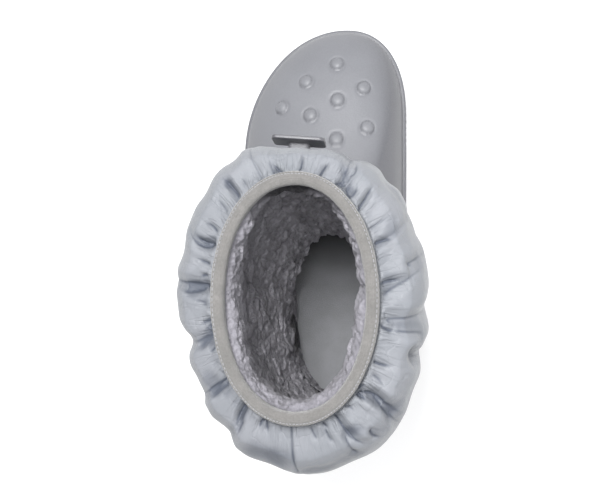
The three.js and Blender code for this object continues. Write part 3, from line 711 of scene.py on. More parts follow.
def make_sole():
    count = 720
    turn = turns(count)
    plan_x, plan_y = outline_point(turn, 0.0)
    step = np.hypot(np.roll(plan_x, -1) - plan_x, np.roll(plan_y, -1) - plan_y)
    walked = np.concatenate([[0], np.cumsum(step)[:-1]])
    ribs = round(step.sum() / RIB_PITCH)
    rib = 0.5 + 0.5 * np.cos(walked / step.sum() * ribs * 2 * math.pi)
    rib = ramp(rib, 0.25, 0.8)
    along = share_along(plan_y)
    ribbed = 1 - ramp(along, 0.11, 0.14) * (1 - ramp(along, 0.69, 0.72))
    rows = []

    def fan(inset, share, height, cut):
        x, y = outline_point(turn, inset)
        x, y = x * share, PLAN_MIDDLE + (y - PLAN_MIDDLE) * share
        z = height(y)
        if cut:
            z = np.maximum(z, 0) + tread_lift(x, y)
        rows.append(np.stack([x, y, z], -1))

    for share in np.linspace(0.02, 0.985, 60):
        fan(6.0, share, underside, True)
    wall = [
        (6.0, 0, None), (4.6, 0.12, None), (3.3, 0.7, None), (2.2, 2, None), (1.4, 4, None),
        (0.8, 6, None), (0.4, 8, None), (0.25, 9.5, None), (0.15, 11, None), (0.05, 14, None),
        (0, None, 6.6), (0, None, 6.0), (0.05, None, 5.4), (0.6, None, 5.0), (1.25, None, 4.6),
        (1.4, None, 4.2), (1.25, None, 3.8), (0.5, None, 3.4), (0.05, None, 3.0), (0, None, 2.4),
        (0, None, 1.4), (0.1, None, 0.8), (0.4, None, 0.3), (1.0, None, 0.0),
    ]
    for inset, over, under in wall:
        y0 = outline_point(turn, inset)[1]
        low, high = underside(y0), rim_height(y0)
        z = low + over if over is not None else high - under
        inside = ramp(z, low + 5.5, low + 7.5) * (1 - ramp(z, high - 6.4, high - 5.4))
        proud = (rib - 1) * ribbed * inside * 1.1
        x, y = outline_point(turn, inset)
        out_x, out_y = np.roll(y, 1) - np.roll(y, -1), np.roll(x, -1) - np.roll(x, 1)
        size = np.hypot(out_x, out_y)
        x, y = x - out_x / size * proud, y - out_y / size * proud
        z = np.where(z < 0.0, 0.0, z)
        rows.append(np.stack([x, y, z], -1))
    for share in np.linspace(0.985, 0.05, 14):
        fan(1.0, share, rim_height, False)
    grid = np.stack(rows)
    # Painted shade along the sole's top ledge and its top cap
    ledge_shade = np.zeros(grid.shape[:2])
    ledge_shade[-20:] = 0.75
    ledge_shade = np.concatenate([ledge_shade.ravel(), [0, 0.75]])
    closed_tube("boot_sole", grid, node="sole", slot="sole_foam", shade=ledge_shade,
                paint=foam_paint("sole_foam", linear(114, 115, 120), linear(108, 109, 113)))


# Shell
def dome_height(points):
    """Height of the moulded domes, and of the shallow ring round each, over the shell's skin, and painted
    shade for a dark ring round each.
    """
    height, rings = np.zeros((2, *points.shape[:2]))
    for along, across in DOMES:
        x, y = across * BALL_WIDTH, HEEL_END + along * CLOG_LENGTH
        near = np.argmin(np.hypot(points[..., 0] - x, points[..., 1] - y))
        middle = points.reshape(-1, 3)[near]
        away = np.linalg.norm(points - middle, axis=-1)
        cap = np.sqrt(np.clip(1 - (away / DOME_RADIUS) ** 2, 0, 1)) ** 0.9
        height += 1.2 * DOME_RISE * cap - 0.5 * bell(away - 5.2, 0.8)
        # painted shade for the dark ring round the dome
        rings += 0.45 * bell(away - 4.7, 0.7)
    return height, rings


def make_shell():
    count = 560
    turn = turns(count)
    top = opening_climb(turn, 0.0)
    rows = []
    levels = np.concatenate([np.linspace(0, 0.1, 10)[:-1], np.linspace(0.1, 1, 108)])
    for level in levels:
        rows.append(shell_point(turn, top * level, 0.0))
    outer = np.stack(rows)
    facing = normals_of(outer)
    height, rings = dome_height(outer)
    slow = value_noise(turn[None] * 90, levels[:, None] * 110, 40, 35, 565, 3) * 0.25
    outer = outer + facing * (height + slow * ramp(levels, 0.02, 0.1)[:, None])[..., None]
    inner_top = opening_climb(turn, SHELL_WALL)
    inner = np.stack([shell_point(turn, inner_top * level, SHELL_WALL) for level in np.linspace(1, 0, 24)])
    grid = np.concatenate([outer, inner])
    faces = [grid_faces(len(grid), count, joined=True)]
    # Painted shade: darker on steeper faces, much more on the medial side, a dark ring round each dome, and
    # darker on the medial side under the shaft
    painted_shade = np.zeros(grid.shape[:2])
    medial = np.clip(-np.sin(turn), 0, 1)[None]
    tilt = 1 - facing[..., 2]
    shade = rings + ramp(tilt, 0.02, 0.75) * (0.45 + 1.1 * medial) + 0.5 * medial * ramp(tilt, 0.005, 0.3)
    painted_shade[: len(outer)] = shade + 0.6 * medial * (1 - ramp(outer[..., 1], 105, 150))
    make_object("boot_shell", grid, faces, node="shell", slot="shell_foam", shade=painted_shade,
                paint=foam_paint("shell_foam", linear(117, 118, 122), linear(111, 112, 116)))


# Insole
def make_insole():
    count = 360
    turn = turns(count)
    inset = SHELL_WALL + CLEARANCE
    rows = []

    def edge(extra, over):
        climb = climb_while(turn, inset + extra, lambda p: p[..., 2] < rim_height(p[..., 1]) + over)
        rows.append(shell_point(turn, climb, inset + extra))

    def fan(extra, share, over, cup):
        x, y = outline_point(turn, RIM_STEP + inset + extra)
        x, y = x * share, PLAN_MIDDLE + (y - PLAN_MIDDLE) * share
        rows.append(np.stack([x, y, rim_height(y) + over + cup * (share**6 - 1)], -1))

    foot = INSOLE_CLEARANCE
    head = foot + INSOLE_THICKNESS
    for share in (0.1, 0.4, 0.7, 0.9):
        fan(1.0, share, foot, 0)
    edge(1.0, foot)
    edge(0.2, foot + 0.8)
    edge(0.0, foot + 2)
    edge(0.0, head - 1.6)
    edge(0.5, head - 0.6)
    edge(1.6, head)
    for share in np.linspace(0.99, 0.03, 70):
        fan(1.6, share, head, 1.2)
    grid = np.stack(rows)
    # Painted shade, growing towards the toe, where the insole lies deep in the shell
    reach = np.concatenate([ramp(grid[..., 1], 52, 96).ravel(), [0, 0]])
    closed_tube("boot_insole", grid, node="insole", slot="insole_felt", shade=reach, paint=felt_paint())


# Shaft. Main creases: where each starts, bends and ends, as degrees from the toe towards the outer side
# and millimetres down the cloth from the band, then how deep its valley is and how far the cloth falls
# away on either side of it
# The valleys and the sides where the cloth falls away are also painted in shade
CREASES = [
    (9, 1.4, 11.2, 3.5, 14, 7.1, 1, 0.4, 0), (14, 0.9, 15.2, 6.3, 15.8, 12.6, 0.4, 0, 0.4),
    (22, 1.4, 24.2, 13.5, 25.2, 51.9, 0.4, 0, 0), (33, 4.4, 33.1, 6.7, 33.5, 9.1, 0.4, 0, 0),
    (40, 3.2, 40, 10.5, 41.2, 17.5, 1, 0.2, 0), (42, 3.9, 41.8, 10.2, 44.5, 20.5, 0.2, 0, 0.6),
    (50, 3.2, 49.5, 7.8, 49.2, 12.6, 0.4, 0, 0), (52, 6, 52.2, 8.8, 52, 11.5, 0.2, 0, 0.2),
    (61, 3.7, 60.2, 8.5, 61.5, 12.7, 0.8, 0, 0), (67, 3.6, 70.2, 9.9, 68, 21.8, 1, 0, 0.8),
    (67, 3.6, 68.2, 9.3, 67.5, 14.4, 1.2, 0.4, 0.2), (76, 3.6, 76, 7, 75.8, 11.1, 0.8, 0, 0),
    (81, 3.3, 81.5, 5.7, 82.8, 8.1, 0.8, 0.2, 0), (86, 2.7, 85.5, 10.9, 88, 40, 1, 0.4, 0),
    (87, 5.3, 88.5, 12, 89.2, 23.2, 0.8, 0, 0.8), (92, 3.4, 91.8, 6.6, 91.5, 11, 0.4, 0, 0),
    (93, 3.5, 93.2, 4.8, 93.8, 6.1, 0.4, 0, 0.4), (99, 0, 100, 4.7, 101.5, 8.7, 0.6, 0.2, 0),
    (101, 0.6, 102, 2.4, 104.2, 6.8, 0.6, 1, 0.4), (104, 0.1, 107, 6.4, 107.5, 46, 0.6, 0.4, 0.2),
    (108, 3.7, 110, 7.7, 113, 13, 0.2, 0, 1), (112, 1.6, 112.9, 3.9, 113.5, 6.3, 0.6, 0, 0.6),
    (118, 2, 119, 5, 120, 8, 0.2, 0, 0.2), (127, 1.3, 123.9, 2.5, 121, 3.8, 0.2, 0, 0),
    (127.5, 2, 127.2, 9.7, 126, 44, 0.6, 0.8, 0), (130, 1.9, 130.5, 10.5, 130.8, 18.2, 0.4, 0.2, 0.2),
    (136, 2, 136.5, 6, 137, 10, 0, 0, 0.4), (141, 1.4, 139.5, 5, 139, 9, 0.2, 0.4, 0),
    (145, 1.2, 145.2, 8.4, 146.8, 14, 1.4, 0.8, 0), (146, 1.2, 148, 15.7, 145, 50, 0.2, 0, 0.4),
    (149, 10.2, 149, 14.2, 149.5, 20.6, 0.6, 0.2, 0.2), (160, 0, 158.2, 3.6, 158.5, 7.4, 1, 0.4, 0),
    (161, 0.8, 162.4, 4.4, 163.8, 8, 0.8, 0.2, 0.4), (171, 1.6, 170.8, 4.1, 170.8, 6.5, 0.2, 0.2, 0),
    (175, 1.6, 175.1, 3.7, 175.5, 5.9, 0, 0.2, 0), (189, 1.5, 190.2, 6.8, 191.2, 8.3, 0.6, 0.2, 0),
    (197, 1.2, 197.8, 3, 198.8, 4.7, 0.8, 0.4, 0), (197, 5.3, 197.8, 10.5, 199, 13.2, 0.6, 0, 0.2),
    (205, 14.5, 204.5, 25.2, 205.5, 31.7, 0.6, 0, 0.2), (206, 0, 207.2, 14.8, 210.8, 25.5, 1, 0.2, 0),
    (214, 0, 215.5, 2.5, 216, 6, 0.6, 0.2, 0), (216, 20.6, 215.2, 25.8, 216.8, 30.9, 0.8, 0.2, 0),
    (216, 17, 218, 22, 220, 30, 0.2, 0, 0.4), (223, 0.9, 223.8, 3.8, 224.5, 6.7, 1, 0.4, 0),
    (224, 1.2, 225.4, 2.4, 226.2, 3.7, 1, 0.2, 0.2), (227, 4.6, 229, 14.7, 227.8, 34.6, 1.2, 0, 0.6),
    (227, 0, 229.2, 0.6, 228.5, 3.3, 0.6, 0, 0.2), (228, 10.1, 226, 24.1, 222, 56, 0.8, 0.2, 0.2),
    (236, 4, 235.8, 7.1, 234.2, 11.9, 0.6, 0, 0.2), (242, 1.6, 242, 6, 243.5, 12.2, 1, 0.2, 0),
    (250, 24, 247.2, 32, 246, 56, 0.8, 0, 0.4), (257, 9.1, 257, 22.4, 255.2, 36.2, 0.6, 0.4, 0),
    (259, 0, 256.8, 5.6, 258.2, 7.8, 0.8, 0.2, 0), (260, 5.6, 262, 14.1, 260, 58, 0.6, 0, 0.4),
    (271, 1.9, 275, 12.9, 277.2, 31.7, 0.6, 0.2, 0), (276, 0, 276.5, 4.9, 275.8, 10.6, 1, 0, 0.4),
    (280, 19.9, 281, 22.4, 279.2, 50, 0.6, 0, 0.2), (282, 1.3, 280, 7.2, 278.2, 12.9, 0, 0, 0.4),
    (284, 1.1, 282.2, 7, 280.2, 12.7, 0, 0, 0), (288, 4.7, 292, 12.7, 294, 66, 0, 0.4, 0),
    (294, 1.2, 293.5, 6.4, 292.2, 11, 1, 0.2, 0), (302, 0, 301.5, 7.4, 302, 12.7, 0.4, 0, 0),
    (313, 0, 315.2, 9, 316.2, 15.2, 1, 0, 0), (321, 0, 324.5, 1.2, 325.5, 5.4, 0.8, 0.2, 0.2),
    (321, 1.2, 320.8, 4.9, 323, 8.5, 0.6, 0.8, 0), (328, 3.4, 331.8, 12, 334.5, 52, 0.4, 0.2, 0),
    (328, 3.5, 332.2, 7, 337, 12.3, 0.2, 0, 0.8), (328, 9.3, 327.2, 14.3, 330.2, 21, 0.6, 0.2, 0),
    (330, 1.4, 328.6, 2.8, 327.8, 4.2, 0.4, 0.4, 0), (333, 0, 330.8, 3.3, 328.5, 5.6, 0.6, 0, 0.2),
    (344, 0, 343.5, 4.6, 341.5, 9.7, 1, 0.4, 0), (358, 1.7, 357.2, 5.6, 357.5, 12.4, 0.8, 0, 0.2),
]

# Broad places where the cloth falls away, with painted shade over them: turn, drop, half spread in degrees,
# half drop, and how much
FACETS = [
    (167, 21, 13, 10, 0.9), (186, 31, 9, 6, 0.5), (199, 32, 10, 8, 0.5), (209, 13, 6, 5, 0.7),
    (228, 27, 9, 7, 0.6), (304, 34, 9, 7, 0.35), (250, 31, 7, 6, 0.5), (146, 27, 6, 9, 0.5),
    (125, 12, 6, 6, 0.5),
    (88, 12, 5, 6, 0.5), (40, 13, 4, 5, 0.5), (108, 33, 6, 7, 0.4), (338, 28, 8, 9, 0.5),
    (353, 27, 8, 9, 0.25), (298, 14, 7, 6, 0.4), (282, 30, 6, 7, 0.3),
]


def crease_field(crease, degrees, drop, radius):
    """Signed distance from a crease in millimetres, and the share of the way along it."""
    t0, d0, t1, d1, t2, d2 = crease[:6]
    steps = np.linspace(0, 1, 9)
    bend_t, bend_d = 2 * t1 - (t0 + t2) / 2, 2 * d1 - (d0 + d2) / 2
    at_t = (1 - steps) ** 2 * t0 + 2 * steps * (1 - steps) * bend_t + steps**2 * t2
    at_d = (1 - steps) ** 2 * d0 + 2 * steps * (1 - steps) * bend_d + steps**2 * d2
    best = np.full(drop.shape, 1e9)
    signed = np.zeros(drop.shape)
    share = np.zeros(drop.shape)
    for i in range(len(steps) - 1):
        du = np.radians(off_turn(degrees, at_t[i])) * radius
        dv = drop - at_d[i]
        eu = math.radians(at_t[i + 1] - at_t[i]) * radius + 0 * du
        ev = at_d[i + 1] - at_d[i]
        t = np.clip((du * eu + dv * ev) / np.maximum(eu * eu + ev * ev, 1e-6), 0, 1)
        px, py = du - t * eu, dv - t * ev
        away = np.hypot(px, py)
        closer = away < best
        best = np.where(closer, away, best)
        signed = np.where(closer, np.where(eu * py - ev * px >= 0, away, -away), signed)
        share = np.where(closer, (i + t) / (len(steps) - 1), share)
    return signed, share


def shaft_rows():
    """Rises whose rows lie close together under the band, where the camera looks, and wider below."""
    trial = np.concatenate([np.linspace(0, 0.9, 240)[:-1], np.linspace(0.9, 1, 260)])
    grid = shaft_outside(turns(72), trial)
    walked = walked_up(grid).mean(1)
    drop = walked[-1] - walked
    places = np.concatenate([np.arange(0, 46, 0.7), np.linspace(46, drop[0], 40)])
    return np.interp(places, drop[::-1], trial[::-1])[::-1]


def make_shaft():
    count = 860
    turn = turns(count)
    degrees = np.degrees(turn)[None]
    rise = shaft_rows()
    rise[0] = 0.0
    grid = shaft_outside(turn, rise)
    facing = normals_of(grid)
    v = walked_up(grid)
    around = np.linalg.norm(np.roll(grid, -1, 1) - grid, axis=-1).sum(1)
    radius = (around / (2 * math.pi))[:, None]
    round_u = 470.0
    u = np.broadcast_to((degrees - SEAM_TURN) % 360 / 360 * round_u, v.shape)
    drop = v[-1][None] - v
    channel_row = int(np.argmin(np.abs(rise - CHANNEL_RISE)))
    to_channel = v - v[channel_row][None]
    lift = np.zeros(v.shape)
    painted_shade = np.zeros(v.shape)

    # Soft unevenness of the filling
    body = np.minimum(ramp(v, 0, 18), ramp(drop, 0, 14))
    lift += 0.7 * value_noise(u, v, 46, 34, round_u, 1) * body
    lift += 0.3 * value_noise(u, v, 19, 17, round_u, 2) * body

    # Gathers under the band, at both sides of the channel and at the foot, with painted shade in their
    # troughs
    chance = np.random.default_rng(11)

    def gathers(distance, spacing, length, width, depth, flare, edge_puff):
        nonlocal lift, painted_shade
        at = 0.0
        lift += edge_puff * bell(distance, length[1] * 0.35) * (distance >= 0)
        while at < 360 - spacing[0] * 0.5:
            long = chance.uniform(*length)
            wide = chance.uniform(*width)
            deep = chance.uniform(*depth)
            slant = chance.normal(0, 0.2)
            away = np.radians(np.abs(off_turn(degrees, at))) * radius - slant * distance
            away = np.abs(away)
            spread = wide * (1 + flare * np.clip(distance / long, 0, 1))
            fade = (1 - ramp(distance, long * 0.3, long)) * (distance >= 0)
            trough = np.exp(-np.sqrt(away**2 + 0.16) / spread) * fade
            ridge = bell(away - 2.4 * spread, 1.4 * spread) * fade
            lift += -deep * trough + 0.4 * deep * ridge
            # painted shade in the trough
            painted_shade += 0.22 * deep * trough
            at += chance.uniform(*spacing)

    gathers(drop, (3.0, 8.0), (3, 9), (0.6, 1.0), (0.15, 0.5), 0.8, 0.5)
    gathers(v, (7, 15), (12, 34), (1.4, 2.4), (0.9, 2.2), 1.0, 0.4)
    gathers(to_channel, (7, 16), (12, 36), (1.3, 2.4), (0.9, 2.4), 1.2, 0.4)
    gathers(-to_channel, (7, 16), (10, 28), (1.2, 2.2), (0.8, 2.0), 1.2, 0.4)

    # Main creases, with painted shade down each valley and over the side where the cloth falls away
    for crease in CREASES:
        deep, before, after = crease[6:]
        columns = np.nonzero(np.abs(off_turn(degrees[0], crease[2])) < CREASE_REACH)[0]
        part = np.ix_(np.arange(len(rise)), columns)
        signed, share = crease_field(crease, degrees[:, columns], drop[part], radius)
        away = np.abs(signed)
        size = ramp(math.hypot(math.radians(crease[4] - crease[0]) * 62, crease[5] - crease[1]), 5, 32)
        fade = (0.7 + 0.3 * ramp(share, 0.0, 0.12)) * (1 - 0.8 * ramp(share, 0.55, 1.0))
        valley = np.exp(-np.sqrt(away**2 + 0.03) / (0.65 + 0.55 * size))
        trough = bell(away, 1.7 + 2.6 * size)
        bank = bell(away - 3.0 - 2 * size, 1.8 + size)
        fallen = np.where(signed > 0, after, before)
        slope = bell(away - 2.4, 2.2)
        lift[part] += fade * ((0.6 + 1.2 * size) * (0.6 * bank - 1.1 * trough) * deep - 1.9 * deep * valley
                              - fallen * slope * (0.7 + size))
        # painted shade down the valley and over the fallen side
        painted_shade[part] += fade * (1.5 * deep * bell(away, 0.62) + 0.75 * fallen * slope)

    # The puff turns away from the light over its shoulder, where shade is painted on it, and lies flat at the
    # inner front
    painted_shade += 0.22 * ramp(drop, 20, 48) * (1 - ramp(drop, 90, 110))
    lift -= 1.5 * bell(degrees - 334, 13) * bell(drop - 42, 26)

    # Places where the cloth falls away, with painted shade over them
    for middle, down, half_turn, half_drop, fall in FACETS:
        across = off_turn(degrees, middle) / half_turn
        reach = np.hypot(across, (drop - down) / half_drop) + 0.35 * value_noise(u, v, 9, 12, round_u, 51)
        patch = 1 - ramp(reach, 0.2, 1.25)
        lift -= 1.6 * fall * patch
        painted_shade += 1.0 * fall * patch

    # Stitched channel and the seam up the back, with painted shade along both
    lift -= 1.5 * bell(to_channel, 1.5)
    painted_shade += 0.6 * bell(to_channel, 1.0)
    seam = np.radians(degrees - (SEAM_TURN + 1.5 * ramp(drop, 0, 40))) * radius
    seam = np.abs(seam + 0.8 * value_noise(u, v, 400, 26, round_u, 6))
    lift += 0.3 * bell(seam - 2.2, 1.6) - 0.9 * bell(seam, 0.7)
    painted_shade += 0.8 * bell(seam, 0.6)

    lift = np.maximum(lift, -5.5) * ramp(drop, 0.0, 1.6) * ramp(v, 0.0, 2.0)
    grid = grid + facing * lift[..., None]

    # Inner side of the cloth, hidden behind the lining
    inner_rise = np.array([1.0, 0.9, 0.75, 0.6, 0.45, 0.3, 0.15, 0.0])
    under = shaft_outside(turn, inner_rise[::-1])
    back = (under - normals_of(under) * 6)[::-1]
    back[0] = collar_point(turn, 4.0, SHAFT_TOP)
    back[-1] = shell_point(turn, opening_climb(turn, 3.0), 3.0) + [0, 0, 0.6]
    whole = np.concatenate([grid, back])
    uv = np.zeros(whole.shape[:2] + (2,))
    uv[: len(grid), :, 0], uv[: len(grid), :, 1] = u, v
    shade = np.zeros(whole.shape[:2])
    shade[: len(grid)] = np.clip(painted_shade, 0, 1.5)
    near = np.zeros(whole.shape[:2])
    near[: len(grid)] = np.exp(-drop / 13) + 0.6 * np.exp(-np.abs(to_channel) / 13) + 0.6 * np.exp(-v / 13)
    faces = [grid_faces(len(whole), count, joined=True)]
    shaft = make_object("boot_shaft", whole, faces, node="shaft", slot="shaft_nylon", uv=uv,
                        round_u=round_u, shade=shade, near=near, paint=nylon_paint())
    return grid, facing, rise


# Collar band
def make_band():
    count, section = 640, 40
    turn = turns(count)
    angle = turns(section)
    foot, wide, tall = BOOT_HEIGHT - BAND_HEIGHT, BAND_WIDTH, BAND_HEIGHT
    round_u = 350.0
    u = turn / (2 * math.pi) * round_u
    rows = []
    for k, a in enumerate(angle):
        up, inward = oval_shares(a, BAND_FULLNESS)
        inset = wide / 2 + inward * wide / 2
        height = foot + tall * (0.5 + 0.5 * up)
        pull = 0.22 * value_noise(u, u * 0 + k * 0.6, 5, 3, round_u, 21)
        pull += 0.3 * value_noise(u, u * 0 + k * 0.35, 17, 5, round_u, 22)
        ring = collar_point(turn, 0.0, 0.0)
        middle = np.array([COLLAR_ACROSS, COLLAR_ALONG, 0.0])
        out = ring - middle
        out /= np.linalg.norm(out, axis=-1, keepdims=True)
        placed = collar_point(turn, inset, height)
        drop = -0.8 * bell(inset - 1.3, 0.5) * (up > 0.3)
        placed[:, 2] += drop + pull * 0.5 * (up > 0)
        placed += out * (pull * 0.6)[:, None]
        rows.append(placed)
    grid = np.stack(rows)
    uv = np.zeros((section, count, 2))
    uv[..., 0], uv[..., 1] = u[None], np.arange(section)[:, None] * 0.6
    faces = [grid_faces(section, count, joined=True)]
    make_object("collar_binding", grid, faces, node="collar_band", slot="band_elastic", uv=uv,
                round_u=round_u, paint=band_paint())
    starts, ends = [], []
    stitches = 165
    for k in range(stitches):
        a = (k + 0.18) / stitches * 2 * math.pi
        b = (k + 0.78) / stitches * 2 * math.pi
        pair = collar_point(np.array([a, b]), 1.2, foot + tall * 0.97 - 0.6)
        starts.append(pair[0])
        ends.append(pair[1])
    strokes("band_stitches", starts, ends, 0.24, slot="band_elastic", paint=thread_paint())


# Pile lining
def make_lining():
    count = 420
    turn = turns(count)
    degrees = np.degrees(turn)
    ahead = ramp(np.cos(turn), -0.1, 0.75)
    medial = np.clip(-np.sin(turn), 0, 1)
    front = bell(off_turn(degrees, 6), 30)

    def oval(middle_x, middle_y, half_x, half_y, z):
        across, along = oval_shares(turn, ANKLE_FULLNESS)
        x, y = middle_x - across * half_x, middle_y + along * half_y
        return np.stack([x, y, np.zeros_like(x) + z], -1)

    arch = ANKLE_HEIGHT + ANKLE_ARCH * ahead
    ankle = oval(ANKLE_ACROSS, ANKLE_ALONG, ANKLE_WIDTH / 2, ANKLE_LENGTH / 2, arch)

    def row(height, lean, inset):
        ring = collar_point(turn, BAND_WIDTH + inset, 0.0)
        ring = ring + (ankle - ring) * lean
        ring[:, 2] = arch + (SHAFT_TOP - arch) * height
        return ring

    top = collar_point(turn, BAND_WIDTH - 0.6, SHAFT_TOP + 1.8)
    hem = oval(ANKLE_ACROSS, ANKLE_ALONG, ANKLE_WIDTH / 2 + 0.5, ANKLE_LENGTH / 2 + 0.5,
               HEM_HEIGHT + 9 + (HEM_ARCH - 9) * ahead)
    under_shell = shell_point(turn, opening_climb(turn, SHELL_WALL + 1.0), SHELL_WALL + 1.0)
    foot = oval(ANKLE_ACROSS, ANKLE_ALONG, ANKLE_WIDTH / 2 + 1, ANKLE_LENGTH / 2 + 1.5, 0)
    foot[:, 2] = rim_height(foot[:, 1]) + INSOLE_THICKNESS - 0.4
    foot = foot * (1 - ahead)[:, None] + under_shell * ahead[:, None]
    key_rows = np.stack([top, row(0.947, 0, 2.9 + 1.4 * medial - 4.0 * front),
                         row(0.81, 0, 2.2 * medial - 3.4 * front),
                         row(0.47, 0.45, -7 + 3 * medial), ankle, hem, foot])
    marks = np.array([0.0, 0.055, 0.16, 0.45, 0.84, 0.93, 1.0])
    share = np.concatenate([np.linspace(0, 0.2, 46)[:-1], np.linspace(0.2, 1, 150)])
    grid = np.zeros((len(share), count, 3))
    tangent = np.gradient(key_rows, marks, axis=0)
    for i, s in enumerate(share):
        k = min(np.searchsorted(marks, s, side="right") - 1, len(marks) - 2)
        span = marks[k + 1] - marks[k]
        t = (s - marks[k]) / span
        h = (2 * t**3 - 3 * t**2 + 1, t**3 - 2 * t**2 + t, -2 * t**3 + 3 * t**2, t**3 - t**2)
        grid[i] = (h[0] * key_rows[k] + h[1] * span * tangent[k]
                   + h[2] * key_rows[k + 1] + h[3] * span * tangent[k + 1])
    facing = normals_of(grid)
    v = walked_up(grid)
    round_u = 300.0
    u = np.broadcast_to(turn[None] / (2 * math.pi) * round_u, v.shape)
    wander_u = u + 2.2 * value_noise(u, v, 14, 18, round_u, 31)
    wander_v = v + 3.0 * value_noise(u, v, 16, 14, round_u, 32)
    big, own = tufts(wander_u, wander_v, 6.4, 9.0, round_u, 33)
    small, _ = tufts(wander_u, wander_v, 3.0, 4.2, round_u, 34)
    clump = np.sqrt(np.clip(1 - (big / 0.95) ** 2, 0, 1))
    curl = np.sqrt(np.clip(1 - (small / 0.95) ** 2, 0, 1))
    swell = 2.2 * value_noise(u, v, 30, 60, round_u, 35)
    lift = swell + (2.2 + 2.4 * own) * clump + 1.1 * curl - 2.6
    streaks = value_noise(wander_u, wander_v, 8, 34, round_u, 37)
    lift += 0.6 * value_noise(u, v, 2.6, 3.4, round_u, 36) + 1.5 * streaks
    lift *= ramp(share, 0.0, 0.03)[:, None] * (1 - 0.5 * np.clip(-np.cos(turn), 0, 1))
    # Painted shade: dark between the tufts, streaked darker and lighter, and deep under the band at the
    # front; taking shade away paints light high on the lateral and medial walls
    painted_shade = np.clip(1.22 - (0.6 + 0.35 * own) * clump - 0.3 * curl, 0, 1.2)
    painted_shade += 0.5 * streaks * ramp(v, 6, 20)
    painted_shade += 2.4 * front * np.exp(-v / 34) - 0.7 * np.clip(np.sin(turn + 0.35), 0, 1) * np.exp(-v / 75)
    painted_shade -= 0.95 * medial * np.exp(-v / 30)
    grid = grid + facing * lift[..., None]
    grid[0] = top
    pile = pile_paint()
    # The nearness share paints shade along the top of the lining, under the band
    make_object("pile_lining", grid, [grid_faces(len(grid), count)], slot="shaft_nylon", shade=painted_shade,
                near=0.7 * bell(v, 16), paint=pile)

    # Inside of the toe box, in the same pile
    rows, shares = [], np.linspace(0, 1, 60)
    low_climb = climb_while(turn, SHELL_WALL + 3.0,
                            lambda p: p[..., 2] < rim_height(p[..., 1]) + INSOLE_THICKNESS + 0.2)
    high_climb = opening_climb(turn, SHELL_WALL + 3.0)
    for s in shares:
        rows.append(shell_point(turn, low_climb + (high_climb - low_climb) * s, SHELL_WALL + 3.0))
    toe = np.stack(rows)
    facing = normals_of(toe)
    big, own = tufts(turn[None] * 90 + 0 * shares[:, None], shares[:, None] * 80 + 0 * turn[None],
                     7, 8, 565, 41)
    clump = np.sqrt(np.clip(1 - (big / 0.95) ** 2, 0, 1))
    toe = toe - facing * (1.6 * clump)[..., None]
    # The toe box lining is painted in deep shade all over, a little lighter on its tufts
    make_object("toe_lining", toe, [grid_faces(len(toe), count)[:, ::-1]], slot="shaft_nylon",
                shade=1.6 - 0.5 * clump, near=np.ones_like(clump), paint=pile)


# Tab
def rounded_bar(width, height, depth, corner, bevel, arcs=7):
    """Rings of a bar with round corners and soft edges, standing in the XZ plane, front to +Y."""
    def ring(shrink, y):
        w, h, r = width / 2 - shrink, height / 2 - shrink, max(corner - shrink, 0.05)
        points = []
        for cx, cz, start in ((w - r, -h + r, -90), (w - r, h - r, 0), (-w + r, h - r, 90),
                              (-w + r, -h + r, 180)):
            for a in np.radians(np.linspace(start, start + 90, arcs)):
                points.append((cx + r * math.cos(a), y, cz + r * math.sin(a)))
        return np.array(points)

    rows = []
    for a in np.radians(np.linspace(0, 90, 5)):
        rows.append(ring(bevel * (1 - math.sin(a)), depth / 2 - bevel * (1 - math.cos(a))))
    for a in np.radians(np.linspace(90, 0, 5)):
        rows.append(ring(bevel * (1 - math.sin(a)), -depth / 2 + bevel * (1 - math.cos(a))))
    return np.stack(rows)


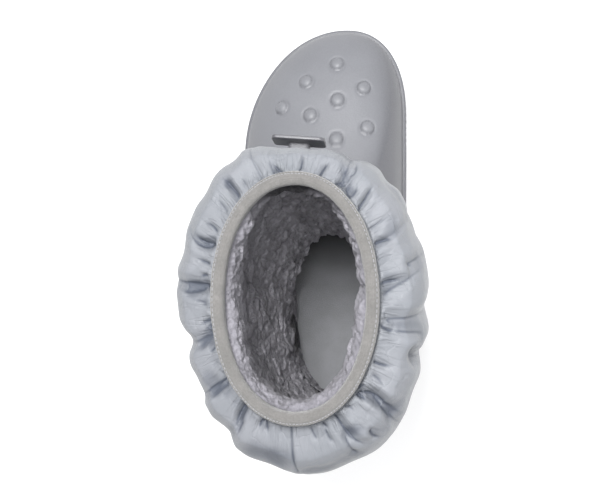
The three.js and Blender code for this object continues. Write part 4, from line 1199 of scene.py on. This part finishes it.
def make_tab():
    turn = np.array([math.radians(TAB_TURN)])
    foot = shell_point(turn, opening_climb(turn, 0.0), 0.0)[0, 2]
    seat = shaft_outside(turn, [(TAB_CENTRE_HEIGHT - foot) / (SHAFT_TOP - foot)])[0, 0]
    yaw, lean = math.radians(TAB_YAW), math.radians(TAB_LEAN)
    about_z = np.array([[math.cos(yaw), -math.sin(yaw), 0], [math.sin(yaw), math.cos(yaw), 0], [0, 0, 1]])
    about_x = np.array([[1, 0, 0], [0, math.cos(lean), -math.sin(lean)], [0, math.sin(lean), math.cos(lean)]])
    turned = about_z @ about_x
    middle = np.array([seat[0], seat[1] + TAB_STAND_OFF, TAB_CENTRE_HEIGHT])
    parts = [(rounded_bar(TAB_WIDTH, TAB_HEIGHT, TAB_THICKNESS, 3, 0.6), (0, 0, 0))]
    for share in (-0.28, 0.0, 0.28):
        bar = rounded_bar(0.2 * TAB_WIDTH, 0.6 * TAB_HEIGHT, 1.6, 1.4, 0.45)
        parts.append((bar, (share * TAB_WIDTH, TAB_THICKNESS / 2, 0.04 * TAB_HEIGHT)))
    neck_depth = TAB_STAND_OFF + 1.6
    neck = rounded_bar(0.4 * TAB_WIDTH, 0.42 * TAB_HEIGHT, neck_depth, 2.2, 0.2)
    parts.append((neck, (0, -neck_depth / 2 - 0.3, -0.2 * TAB_HEIGHT)))
    points, faces = [], []
    total = 0
    for rings, offset in parts:
        rows, columns = rings.shape[:2]
        flat = (rings + offset).reshape(-1, 3)
        tips = np.stack([flat[:columns].mean(0), flat[-columns:].mean(0)])
        block = np.concatenate([flat, tips]) @ turned.T + middle
        points.append(block)
        faces.append(grid_faces(rows, columns, start=total)[:, ::-1])
        last = total + rows * columns
        faces.append(cap_faces(total, columns, last, True))
        faces.append(cap_faces(total + (rows - 1) * columns, columns, last + 1, False))
        total += len(block)
    make_object("boot_tab", np.concatenate(points), by_corners(faces), node="front_tab",
                slot="tab_rubber", paint=rubber_paint())


def make_channel_stitches(grid, facing, rise):
    """Stitches along the channel between the two puffs."""
    row = int(np.argmin(np.abs(rise - CHANNEL_RISE)))
    line = grid[row] + facing[row] * 0.25
    count = len(line)
    starts, ends = [], []
    stitch, gap = 4, 1
    for k in range(0, count - stitch, stitch + gap):
        starts.append(line[k])
        ends.append(line[(k + stitch) % count])
    strokes("channel_stitches", starts, ends, 0.3, slot="shaft_nylon", paint=bpy.data.materials["thread"])


make_sole()
make_shell()
make_insole()
shaft_grid, shaft_facing, shaft_rise = make_shaft()
make_band()
make_channel_stitches(shaft_grid, shaft_facing, shaft_rise)
make_lining()
make_tab()

# Floor, lights and surroundings
bpy.ops.mesh.primitive_plane_add(size=60, location=(0, 0.1, -0.0003))
floor = bpy.context.object
floor.name = "floor"
floor.data.materials.append(floor_paint())


def area_light(name, place, target, size, power):
    data = bpy.data.lights.new(name, "AREA")
    data.shape, data.size, data.energy = "DISK", size, power
    made = bpy.data.objects.new(name, data)
    bpy.context.scene.collection.objects.link(made)
    made.location = place
    made.rotation_mode = "QUATERNION"
    made.rotation_quaternion = (Vector(target) - Vector(place)).to_track_quat("-Z", "Y")


area_light("key", (-0.12, 0.62, 1.9), (0, 0.08, 0.1), 0.5, 46)
area_light("soft", (0.12, 0.05, 2.0), (0, 0.08, 0.1), 1.3, 25)
area_light("side", (0.95, 0.2, 0.95), (0, 0.16, 0.06), 0.16, 3.4)
world = bpy.data.worlds.new("studio")
world.use_nodes = True
world.node_tree.nodes["Background"].inputs["Color"].default_value = (0.93, 0.95, 1.0, 1)
world.node_tree.nodes["Background"].inputs["Strength"].default_value = 0.3
bpy.context.scene.world = world
bpy.context.scene.view_settings.view_transform = "Standard"
